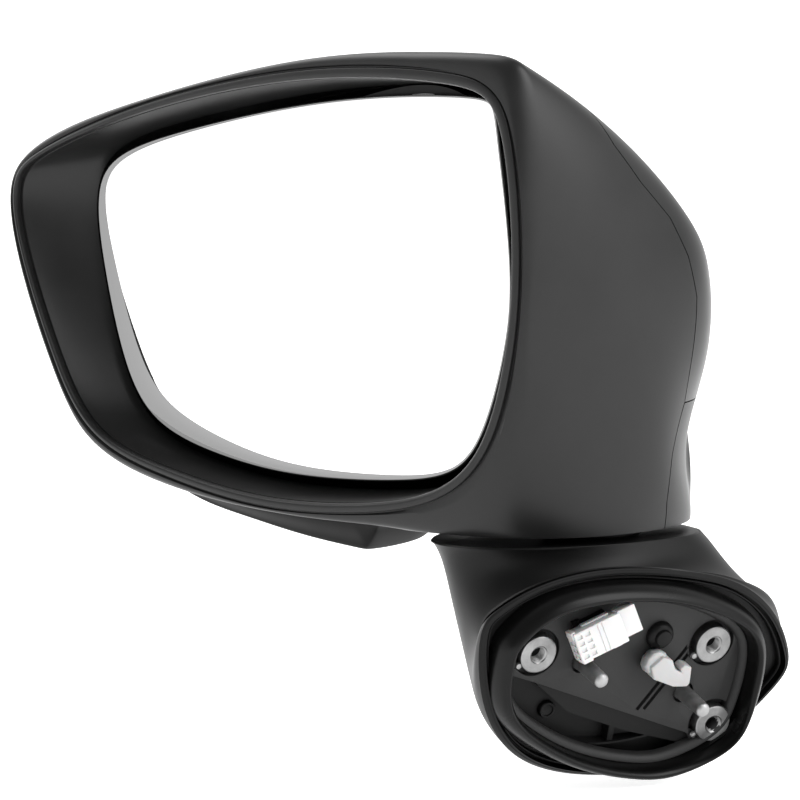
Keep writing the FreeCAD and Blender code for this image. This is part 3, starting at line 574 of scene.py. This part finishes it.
shell = build_head_shell()
below_neck = prism_object("zone", [(-250, -60), (70, -60), (70, NECK_Z), (-250, NECK_Z)], -150, 60, HEAD)
boolean(shell, below_neck, "DIFFERENCE")
front_shell = boolean(copy_of(shell), cap_zone(-GAP), "INTERSECT")
low_shell = boolean(copy_of(shell), low_zone(-GAP), "INTERSECT")
keel_shell = boolean(copy_of(shell), keel_zone(), "INTERSECT")
under_shell = boolean(copy_of(shell), under_zone(-GAP), "INTERSECT")
for zone in (cap_zone(GAP), low_zone(GAP), keel_zone(), under_zone(GAP)):
    boolean(shell, zone, "DIFFERENCE")
lower_shell = joined("head_lower_cover", [low_shell, keel_shell, under_shell, build_keel()])
shell.name, front_shell.name = "head_rear_housing", "head_front_cover"
finished(shell, "head", TEXTURED_BLACK, replaces=("rear_housing",))
finished(front_shell, "head", SMOOTH_BLACK, replaces=("front_cover",))
finished(lower_shell, "head", TEXTURED_BLACK, replaces=("lower_cover",))
# the faces under the rim take the darker black as painted shade
lower_shell.data.materials.append(UNDERSIDE_PAINTED_SHADE_BLACK)
for face in lower_shell.data.polygons:
    if -(np.array(face.center) / MM - HEAD[:3, 3]) @ HEAD[:3, 2] < UNDERSIDE_DEPTH:
        face.material_index = 1

# ------------------------------------------------------------------ foot cover
FLANGE = [(-90, 30), (-84.5, 41), (-68, 49.5), (-40, 53.5), (-8, 50), (15, 43), (32, 30), (41.5, 14),
          (41, 3), (30.5, -10), (15, -23), (-8, -30.5), (-32, -30.5), (-53, -26), (-71, -15.5), (-84.5, 5)]
GASKET = [(-82, 23), (-79, 32), (-66, 42.5), (-42, 47), (-14, 44.5), (8, 37), (22, 27.5), (27.5, 15),
          (27.5, 0), (24.5, -13.5), (15.7, -23.2), (-2, -30.3), (-20, -30), (-42, -24), (-63, -13), (-79, 3)]
NECK_CENTRE, NECK_HALF = (-25.0, 64.5), (52.0, 33.5)
NECK_ANGLE = 72.0
# turn from the door face, share of the neck's outline, rear limit, front limit
FOOT_SECTIONS = [(1, 0.0, -90, 41.5), (6, 0.03, -89.5, 42.3), (12, 0.15, -87, 43.5), (22, 0.5, -80, 44.5),
                 (36, 0.78, -73.5, 42.5), (54, 0.94, -71, 37), (66, 0.99, -72.8, 31.5), (NECK_ANGLE, 1.0, -77, 27)]
# the corner over the front of the flange stays full: station to how late it turns into the neck, and
# station to how far the neck's outline stands out of its oval
LATE_STATIONS = {4: 1.5, 5: 2.5, 6: 3.0, 7: 2.0}
FULL_STATIONS = {5: 1.02, 6: 1.08, 7: 1.05}
HINGE = np.array([math.tan(TILT) * FOOT_TOP, 0, FOOT_TOP])
HINGE_REACH = FOOT_TOP / math.cos(TILT)
FOOT_SKIN = 2.4


def foot_outline(share, rear, front):
    outline = []
    for index, (along, rise) in enumerate(FLANGE):
        angle, full = 2 * math.pi * index / len(FLANGE), FULL_STATIONS.get(index, 1.0)
        turn = share ** LATE_STATIONS.get(index, 1.0)
        neck_along = NECK_CENTRE[0] - NECK_HALF[0] * full * math.cos(angle)
        neck_reach = NECK_CENTRE[1] - NECK_HALF[1] * full * math.sin(angle)
        outline.append((along + (neck_along - along) * turn,
                        HINGE_REACH - rise + (neck_reach - HINGE_REACH + rise) * turn))
    outline = np.array(outline)
    back, ahead = outline[:, 0].min(), outline[:, 0].max()
    outline[:, 0] = rear + (outline[:, 0] - back) * (front - rear) / (ahead - back)
    return outline


def turned(outline, degrees, drop=0.0):
    angle = math.radians(degrees) + TILT
    run = np.array([-math.sin(angle), 0, -math.cos(angle)])
    return [HINGE + run * reach + np.array([0, along, -drop]) for along, reach in outline]


def build_foot_cover():
    outer_stations = [turned(foot_outline(*limits), angle) for angle, *limits in FOOT_SECTIONS]
    inner_stations = [turned(inset(foot_outline(*limits), FOOT_SKIN), angle) for angle, *limits in FOOT_SECTIONS]
    inner_stations[0] = turned(inset(foot_outline(*FOOT_SECTIONS[0][1:]), FOOT_SKIN), -1)
    inner_stations[-1] = turned(inset(foot_outline(*FOOT_SECTIONS[-1][1:]), FOOT_SKIN), NECK_ANGLE, FOOT_SKIN)
    outer = surface_rings(outer_stations, np.linspace(0, 7, 110))
    inner = surface_rings(inner_stations, np.linspace(7, 0, 40))
    turn = np.arctan2(outer[-1][:, 1] - FOLD_POINT[1], outer[-1][:, 0] - FOLD_POINT[0])
    hole = np.column_stack([FOLD_POINT[0] + 19.2 * np.cos(turn), FOLD_POINT[1] + 19.2 * np.sin(turn)])
    rings = list(outer[:-2])
    top = outer[-1][:, :2]
    middle = top.mean(0)
    rings.append(lifted(middle + (top - middle) * 0.997, FOOT_TOP - 0.9))
    rings.append(lifted(middle + (top - middle) * 0.985, FOOT_TOP - 0.25))
    rings.append(lifted(middle + (top - middle) * 0.965, FOOT_TOP))
    rings.append(lifted(hole, FOOT_TOP))
    rings.append(lifted(hole, FOOT_TOP - FOOT_SKIN))
    rings += list(inner)
    # the edge on the door side is gently crowned
    for share in (0.75, 0.4):
        rings.append(inner[-1] + (outer[0] - inner[-1]) * share + FOOT[:3, 2] * 0.45)
    return rings_object("foot_cover", rings, WORLD, close_rings=True)


def foot_cover_floor():
    """The floor of the groove between the cover's edge and the gasket, and the thin lip that stands in it."""
    edge, seal = smooth_closed(FLANGE), smooth_closed(inset(GASKET, 1.0))
    floor = rings_object("floor_ring", [lifted(inset(edge, 1.2), -4.2), lifted(inset(edge, 1.2), -3.2),
                                        lifted(seal, -3.2), lifted(seal, -4.2)], FOOT, close_rings=True)
    lip = swept_profile("lip_ring", edge, [(3.4, -4.0), (3.3, -1.2), (3.6, -0.8), (4.0, -0.8), (4.3, -1.2),
                                           (4.4, -4.0)], FOOT)
    return [floor, lip]


foot_cover = joined("foot_cover", [build_foot_cover()] + foot_cover_floor())
finished(foot_cover, "base", COVER_BLACK, replaces=("base_cover",))

# ------------------------------------------------------------------ glass
# width of the grey band at the edge of the glass, a painted reflection of the housing's inner wall, station by
# station as in GLASS
PAINTED_REFLECTION_BAND = [3.2, 1.6, 0.7, 0.5, 0.5, 0.5, 0.5, 0.6, 0.7, 0.9, 1.8, 3.4, 6.2, 8.8, 7.6, 5.2]


def build_glass():
    """The pane, and a dark silver band at its edge that is a painted reflection of the housing's inner wall, with
    its bright ground corner.
    """
    line, band = smooth_closed(GLASS), station_values(PAINTED_REFLECTION_BAND)
    inner_edge = inset(line, 0.55 + band)
    pane_edge = inset(inner_edge, -0.3)
    rings = [lifted(pane_edge, -20.0), lifted(pane_edge, -18.1), lifted(inner_edge, -18.0)]
    pane = rings_object("mirror_pane", rings, HEAD, cap_ends=True)
    rings = [lifted(inner_edge, -19.9), lifted(inset(line, 0.1), -19.9), lifted(line, -19.6), lifted(line, -18.5),
             lifted(inset(line, 0.45), -18.1), lifted(inset(line, 0.55), -18.12), lifted(inner_edge, -18.04)]
    return pane, rings_object("glass_edge_painted_reflection", rings, HEAD, close_rings=True)


mirror_glass, glass_edge_painted_reflection = build_glass()


def mirror_material(name, shade):
    material, tree, shader = new_material(name)
    cloud = add_node(tree, "TexNoise", {"Vector": place_texture(tree), "Scale": 9.0, "Detail": 2.0})
    tree.links.new(colour_ramp(tree, cloud.outputs[0], grey(shade * 0.975), grey(shade), 0.3, 0.7),
                   shader.inputs["Base Color"])
    shader.inputs["Metallic"].default_value = 1.0
    gloss = add_node(tree, "MapRange", {"Value": cloud.outputs[0], "To Min": 0.01, "To Max": 0.03})
    tree.links.new(gloss.outputs[0], shader.inputs["Roughness"])
    return material


MIRROR_SILVER = mirror_material("mirror_silver", 0.96)
# a dark silver for the band at the glass's edge: a painted reflection of the housing's inner wall
PAINTED_REFLECTION_SILVER = mirror_material("glass_edge_painted_reflection", 0.25)
finished(mirror_glass, "glass", MIRROR_SILVER, replaces=("mirror_glass",), sharp=20)
finished(glass_edge_painted_reflection, "glass", PAINTED_REFLECTION_SILVER, sharp=20)

# ------------------------------------------------------------------ gasket
BOSSES = {"rear": (-65.0, 21.6), "upper": (8.2, 19.4), "lower": (14.2, -13.3)}
PINS = {"rear": (-45.2, 15.9), "front": (0.0, 0.0)}
BOSS_RADIUS, COLLAR_RADIUS = 7.3, 9.3
# how far the skirt runs out from the ring, station by station as in GASKET
SKIRT = [1, 1, 0.95, 0.85, 0.85, 0.9, 1, 1, 0.8, 0.2, 0.0, 0.0, 0.1, 0.35, 0.7, 0.95]
SKIRT_REACH = 2.2
# share of the full thickness of the ring, which is thinner where it passes the lower boss
WALL = [1, 1, 1, 1, 1, 1, 1, 1, 0.95, 0.62, 0.62, 1, 1, 1, 1, 1]


def build_gasket():
    line = smooth_closed(GASKET)
    reach, wall = station_values(SKIRT) * SKIRT_REACH, station_values(WALL)
    # share of the skirt's reach, distance in from the outline, height
    profile = [(-1.0, 0, -3.4), (-1.0, 0, -1.4), (-1.0, 0.1, 0.8), (-0.9, 0.3, 2.9), (-0.62, 0.5, 4.9),
               (-0.3, 0.8, 6.5), (0, 1.3, 7.5), (0, 2.2, 7.95), (0, 3.1, 7.5), (0, 3.75, 6.4), (0, 4.0, 4.8),
               (0, 4.1, 1.0), (0, 4.1, -2.0)]
    count = len(profile)
    fine = spline_rows(count, False, np.linspace(0, count - 1, 40)) @ np.array(profile)
    rings = [lifted(inset(line, out * reach + inwards * wall), height) for out, inwards, height in fine]
    return rings_object("door_seal", rings, FOOT, close_rings=True)


finished(build_gasket(), "base", GASKET_RUBBER, replaces=("mounting_gasket",))

# ------------------------------------------------------------------ liner inside the gasket
CLIP, DOME = (-15.8, 14.4), (-14.8, 24.6)
LINER_EDGE = [(-95, 21), (-62, 9), (11, -19.5), (30, -19.5), (30, -60), (-95, -60)]


def block(low, high, place, round_by=0.0, segments=2):
    """A box between two local corners, with rounded edges."""
    (x0, y0, z0), (x1, y1, z1) = low, high
    item = prism_object("block", [(x0, y0), (x1, y0), (x1, y1), (x0, y1)], z0, z1, place)
    return apply_modifiers(bevelled(item, round_by, segments)) if round_by else item


def strip(start, end, width, low, high, place):
    """A straight bar from start to end."""
    run = unit(end[0] - start[0], end[1] - start[1])
    side = np.array([-run[1], run[0]]) * width / 2
    corners = [np.array(p) + side * s for p, s in ((start, -1), (end, -1), (end, 1), (start, 1))]
    return prism_object("strip", corners, low, high, place)


def build_liner():
    outline = smooth_closed(inset(GASKET, 3.2))
    plate = prism_object("liner", outline, -4.2, -2.0, FOOT)
    boolean(plate, prism_object("tool", LINER_EDGE, -10, 10, FOOT), "DIFFERENCE")
    holes = [lathe_object("tool", [(COLLAR_RADIUS, -6), (COLLAR_RADIUS, 2)], FOOT, c) for c in BOSSES.values()]
    holes += [lathe_object("tool", [(4.2, -6), (4.2, 2)], FOOT, c, sides=32) for c in PINS.values()]
    for offset in (-1.5, 1.5):
        holes.append(strip((6.5 + offset, 28.2), (-17 + offset, -5.5), 1.5, -3.5, 2, FOOT))
    for hole in holes:
        boolean(plate, hole, "DIFFERENCE")
    apply_modifiers(bevelled(plate, 0.3, 2))
    parts = [plate]
    for centre in BOSSES.values():
        collar = [(BOSS_RADIUS + 0.2, -5.0), (COLLAR_RADIUS + 0.6, -5.0), (COLLAR_RADIUS + 0.6, -2.4),
                  (COLLAR_RADIUS - 0.1, -2.2), (COLLAR_RADIUS - 0.3, -4.4), (BOSS_RADIUS + 0.2, -4.5)]
        turn = np.arange(64) * 2 * math.pi / 64
        rings = [lifted(np.column_stack([centre[0] + r * np.cos(turn), centre[1] + r * np.sin(turn)]), h)
                 for r, h in collar]
        parts.append(rings_object("collar", rings, FOOT, close_rings=True))
    ledge = swept_profile("ledge", smooth_closed(GASKET), [(3.6, -4.0), (3.8, -0.4), (4.4, 0.2), (5.4, 0.1),
                                                           (6.6, -0.8), (7.2, -2.0), (7.2, -4.0)], FOOT)
    parts.append(ledge)
    return joined("door_liner", parts)


def build_recess():
    """The well below the liner: a floor with a round stud, a rib, a raised panel and a thin curved wall."""
    floor = prism_object("recess_floor", smooth_closed(inset(GASKET, 3.4)), -10.5, -9.5, FOOT)
    parts = [floor]
    parts.append(lathe_object("stud", [(3.4, -9.6), (3.2, -8.0), (2.9, -7.7), (2.3, -7.7), (2.1, -8.2), (1.6, -8.4),
                                       (0.2, -8.4)], FOOT, (-52.4, -5.5), sides=40))
    parts.append(block((-27, -19, -10), (-24.4, -4, -5.0), FOOT, 0.4))
    parts.append(block((-24.4, -17.5, -10), (-9, -8, -7.0), FOOT, 0.5))
    bend = np.linspace(-44, -10, 24)
    arc = -17.5 - 1.6 * np.sin((bend + 44) / 34 * math.pi)
    wall = np.concatenate([np.column_stack([bend, arc]), np.column_stack([bend[::-1], arc[::-1] - 0.8])])
    parts.append(prism_object("curved_wall", wall, -10, -4.6, FOOT))
    shroud = [(-76, 20), (-46, -5), (-20, -15), (4, -22), (13, -23), (22, -17), (21, 16), (13, 29), (-60, 31),
              (-75, 28)]
    parts.append(prism_object("shroud", shroud, -5.2, -4.25, FOOT))
    parts.append(prism_object("edge_wall", [(-62, 10.6), (11, -17.6), (11, -19.2), (-62, 9.0)], -10, -2.3, FOOT))
    return joined("door_recess", parts)


finished(build_liner(), "base", LINER_BLACK, replaces=("liner_plate",))
finished(build_recess(), "base", RECESS_BLACK)

# ------------------------------------------------------------------ bosses, pins and the cast bracket
DEEP = -4.6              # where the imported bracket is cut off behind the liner
BORE_RADIUS, THREAD_PITCH, THREAD_DEPTH = 2.5, 1.0, 0.55


def threaded_boss(centre, sides=96):
    """A machined boss with a faint turned face and an M6 thread down its bore."""
    turn = np.arange(sides) * 2 * math.pi / sides
    profile = [(BOSS_RADIUS, -9), (BOSS_RADIUS, -0.7), (BOSS_RADIUS - 0.2, -0.2), (BOSS_RADIUS - 0.6, 0)]
    profile += [(radius, 0.0 if i % 2 else -0.035) for i, radius in enumerate(np.linspace(6.6, 3.7, 22))]
    profile += [(3.5, 0.0), (3.15, -0.35)]
    rings = [np.column_stack([radius * np.cos(turn), radius * np.sin(turn), np.full(sides, height)])
             for radius, height in profile]
    for height in np.arange(-0.5, -8.4, -0.125):
        phase = (height / THREAD_PITCH + turn / (2 * math.pi)) % 1.0
        radius = BORE_RADIUS + THREAD_DEPTH * np.abs(2 * phase - 1)
        rings.append(np.column_stack([radius * np.cos(turn), radius * np.sin(turn), np.full(sides, height)]))
    rings = [ring + np.array([centre[0], centre[1], 0]) for ring in rings]
    return rings_object("boss", rings, FOOT, cap_ends=True)


def cast_pin(centre, sides=48):
    """A rough cast pin with a rounded, brighter tip."""
    turn = np.arange(sides) * 2 * math.pi / sides
    profile = [(3.4, -7), (3.35, -4.0), (3.1, -1.5)] + [(3.0 - 0.012 * i, -1 + 0.6 * i) for i in range(22)]
    profile += [(2.75 * math.cos(a), 12.2 + 1.8 * math.sin(a)) for a in np.linspace(0.1, 1.5, 8)]
    rings = []
    for radius, height in profile:
        rough = 1 + 0.012 * np.sin(5 * turn + 2.3 * height) + 0.008 * np.sin(11 * turn - 4.1 * height)
        rings.append(np.column_stack([centre[0] + radius * rough * np.cos(turn),
                                      centre[1] + radius * rough * np.sin(turn), np.full(sides, height)]))
    return rings_object("pin", rings, FOOT, cap_ends=True)


def bracket_behind_liner():
    """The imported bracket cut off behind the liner, where the detailed bosses and pins take over."""
    work = bmesh.new()
    work.from_mesh(frame["nodes"]["base_bracket"].data)
    normal = Vector(FOOT[:3, 2])
    everything = work.verts[:] + work.edges[:] + work.faces[:]
    bmesh.ops.bisect_plane(work, geom=everything, dist=1e-7, plane_co=normal * DEEP * MM, plane_no=normal,
                           clear_outer=True)
    bmesh.ops.holes_fill(work, edges=[edge for edge in work.edges if edge.is_boundary], sides=0)
    mesh = bpy.data.meshes.new("bracket_casting")
    work.to_mesh(mesh)
    work.free()
    return new_object("bracket_casting", mesh)


bosses = [threaded_boss(centre) for centre in BOSSES.values()]
nibs = [lathe_object("nib", [(1.5, -6), (1.4, -1.4), (1.0, -0.8), (0.2, -0.6)], FOOT, (p - 6.9, q - 4.4), sides=20)
        for p, q in BOSSES.values()]
finished(bracket_behind_liner(), "base", DIE_CAST, replaces=("base_bracket",))
threaded = finished(joined("threaded_bosses", bosses + nibs), "base", MACHINED, sharp=25)
threaded.data.materials.append(DIE_CAST)
for face in threaded.data.polygons:
    spot = np.array(face.center) / MM @ FOOT[:3, :2]
    if any(np.hypot(*(spot - centre)) < BORE_RADIUS + THREAD_DEPTH + 0.07 for centre in BOSSES.values()):
        face.material_index = 1
finished(joined("locating_pins", [cast_pin(centre) for centre in PINS.values()]), "base", PIN_CAST,
         sharp=50)

# ------------------------------------------------------------------ plug, clip and bung
PLUG_TURN = math.radians(23)
PLUG_LEAN = math.radians(-18)
PLUG = (FOOT @ frame_matrix((-43.0, 31.4, 2.0), (math.cos(PLUG_TURN), math.sin(PLUG_TURN), 0),
                            (-math.sin(PLUG_TURN), math.cos(PLUG_TURN), 0), (0, 0, 1))
        @ frame_matrix((0, 0, 0.6), (1, 0, 0), (0, math.cos(PLUG_LEAN), math.sin(PLUG_LEAN)),
                       (0, -math.sin(PLUG_LEAN), math.cos(PLUG_LEAN))))


def build_plug():
    body = block((-12.8, -6.4, 0), (6.4, 4.9, 7.4), PLUG, 0.5)
    cavities = []
    for row in range(4):
        across = -5.3 + 2.5 * row
        for low in (0.9, 4.0):
            cavities.append(block((-14, across, low), (-6, across + 1.5, low + 2.2), PLUG))
        for along in (-11.8, -8.6):
            cavities.append(block((along, across, 6.9), (along + 2.1, across + 1.4, 9), PLUG))
    cavities.append(block((-3.4, -7, 7.15), (-3.05, 6, 9), PLUG))
    cavities.append(block((-1.6, -7, 7.15), (-1.25, 6, 9), PLUG))
    for cavity in cavities:
        boolean(body, cavity, "DIFFERENCE")
    parts = [body]
    for low, high in (((5.6, -5.0, 0.6), (12.8, 5.4, 6.9)), ((-7.5, 4.6, 0.8), (3.6, 5.5, 3.6)),
                      ((-12.4, -7.2, 1.5), (-8.4, -6.1, 6.8)), ((-13.2, 2.4, 1.0), (-11.4, 5.4, 6.6)),
                      ((0.5, -7.0, 1.5), (4.0, -6.1, 6.0))):
        parts.append(block(low, high, PLUG, 0.4))
    return joined("wire_plug", parts)


def build_clip():
    """A moulded nylon clip: a leaning barrel with a bevelled head, and an arm that ends in a hook."""
    sides = 10
    turn = np.arange(sides) * 2 * math.pi / sides + 0.2
    rings = []
    for radius, height in ((2.8, -4), (2.8, -2.2), (5.0, -2.0), (5.0, 3.4), (4.4, 5.0), (3.2, 5.6)):
        lean = max(height + 2, 0) / 7.6
        rings.append(np.column_stack([CLIP[0] - 2.6 * lean + radius * np.cos(turn),
                                      CLIP[1] + 2.6 * lean + radius * np.sin(turn), np.full(sides, height)]))
    barrel = apply_modifiers(bevelled(rings_object("barrel", rings, FOOT, cap_ends=True), 0.35, 2, angle=20))
    arm_line = [(-21.5, 16), (-19.5, 11.2), (-10.7, 7.6), (-5.0, 7.2), (-4.0, 8.4), (-4.4, 15.0), (-7.4, 16.0),
                (-9.0, 14.8), (-8.4, 13.2), (-11, 14.4), (-13, 18.5), (-17, 20)]
    arm = apply_modifiers(bevelled(prism_object("arm", arm_line, 1.8, 7.2, FOOT), 0.6, 3))
    return joined("edge_clip", [barrel, arm])


bung = lathe_object("cable_bung", [(3.6, -4.0), (3.6, -2.2), (5.4, -2.0), (5.3, -0.9), (4.7, 0.2), (3.7, 0.8),
                                   (3.3, 0.9), (3.2, 1.7), (2.9, 2.1), (1.5, 2.3), (0.2, 2.3)], FOOT, DOME)
finished(build_plug(), "base", WHITE_PLUG, replaces=("plug_connector",))
finished(build_clip(), "base", WHITE_NYLON, replaces=("retaining_clip",))
finished(bung, "base", NYLON_BLACK, replaces=("blind_plug",))

# ------------------------------------------------------------------ CAD nodes that stay
NODE_MATERIALS = {"liner_black": LINER_BLACK, "cover_black": COVER_BLACK, "frame_black": FRAME_BLACK,
                  "nylon_black": NYLON_BLACK, "steel": STEEL, "die_cast": DIE_CAST, "acetal": ACETAL,
                  "heater_foil": HEATER_FOIL, "gasket_rubber": GASKET_RUBBER, "white_nylon": WHITE_NYLON,
                  "white_plug": WHITE_PLUG, "textured_black": TEXTURED_BLACK, "smooth_black": SMOOTH_BLACK,
                  "mirror_silver": MIRROR_SILVER}
slots = {entry["node"]: entry["material_slot"] for entry in frame["record"]["subparts"]}
for name, item in frame["nodes"].items():
    item.data.materials.clear()
    item.data.materials.append(NODE_MATERIALS[slots[name]])

# ------------------------------------------------------------------ floor, light and camera
def facing(azimuth, elevation):
    """The direction that azimuth and elevation, in degrees, stand for."""
    a, e = math.radians(azimuth), math.radians(elevation)
    return (math.sin(a) * math.cos(e), -math.cos(a) * math.cos(e), math.sin(e))


LOOK = unit(*facing(62, 6.5))
DISTANCE = 1800.0
LIT_POINT = np.array([-80.0, -60.0, 100.0])
TARGET = np.array([-59.27, -85.73, 106.05])


def build_camera():
    data = bpy.data.cameras.new("camera")
    data.sensor_width = 36.0
    data.lens = 223.56
    data.clip_start, data.clip_end = 0.05, 50.0
    camera = new_object("camera", data)
    camera.location = Vector((TARGET + LOOK * DISTANCE) * MM)
    camera.rotation_mode = "QUATERNION"
    camera.rotation_quaternion = Vector(-LOOK).to_track_quat("-Z", "Y")
    bpy.context.scene.camera = camera


def area_light(name, azimuth, elevation, distance, size, power):
    """A soft box that faces the middle of the object."""
    data = bpy.data.lights.new(name, "AREA")
    data.shape = "RECTANGLE"
    data.size, data.size_y = size
    data.energy = power
    lamp = new_object(name, data)
    back = np.array(facing(azimuth, elevation))
    lamp.location = Vector(LIT_POINT * MM + back * distance)
    lamp.rotation_mode = "QUATERNION"
    lamp.rotation_quaternion = Vector(-back).to_track_quat("-Z", "Y")
    return lamp


build_camera()


# studio walls: azimuth, elevation, cosine where the patch starts, cosine where it is full, brightness added
STUDIO_BASE = 0.24
STUDIO = [(242, 4, 0.15, 0.62, 0.82), (-8, 2, 0.86, 0.92, 0.9), (130, 28, 0.74, 0.97, 2.0),
          (300, 52, 0.7, 0.93, 0.6), (-72, 8, 0.7, 0.93, 1.9)]


def build_world():
    """A dim studio: a white wall behind the object, a white card for the glass to reflect, and soft boxes."""
    world = bpy.data.worlds.new("studio")
    bpy.context.scene.world = world
    world.use_nodes = True
    tree = world.node_tree
    direction = add_node(tree, "TexCoord").outputs["Generated"]
    level = None
    for azimuth, elevation, start, full, added in STUDIO:
        towards = add_node(tree, "VectorMath", {0: direction, 1: facing(azimuth, elevation)},
                           operation="DOT_PRODUCT")
        patch = add_node(tree, "MapRange", {"Value": towards.outputs["Value"], "From Min": start, "From Max": full,
                                            "To Min": 0.0 if level else STUDIO_BASE,
                                            "To Max": added if level else STUDIO_BASE + added},
                         interpolation_type="SMOOTHSTEP").outputs[0]
        level = add_node(tree, "Math", {0: level, 1: patch}, operation="ADD").outputs[0] if level else patch
    tree.links.new(level, tree.nodes["Background"].inputs[0])


def build_floor():
    size, height = 40.0, cad_low.z - 0.002
    corners = [(-size, -size, height), (size, -size, height), (size, size, height), (-size, size, height)]
    floor = new_object("floor", new_mesh("floor", corners, [(0, 1, 2, 3)]))
    material, tree, shader = new_material("pale_floor")
    shader.inputs["Base Color"].default_value = (0.8, 0.8, 0.8, 1)
    shader.inputs["Roughness"].default_value = 0.9
    shader.inputs["Specular IOR Level"].default_value = 0.1
    shader.inputs["Emission Color"].default_value = (1, 1, 1, 1)
    shader.inputs["Emission Strength"].default_value = 0.72
    floor.data.materials.append(material)


bpy.context.scene.view_settings.view_transform = "Standard"
build_world()
build_floor()
area_light("side_box", 122, 34, 1.6, (0.7, 1.2), 10.0)
area_light("top_box", 300, 60, 1.4, (0.9, 0.9), 8.0)
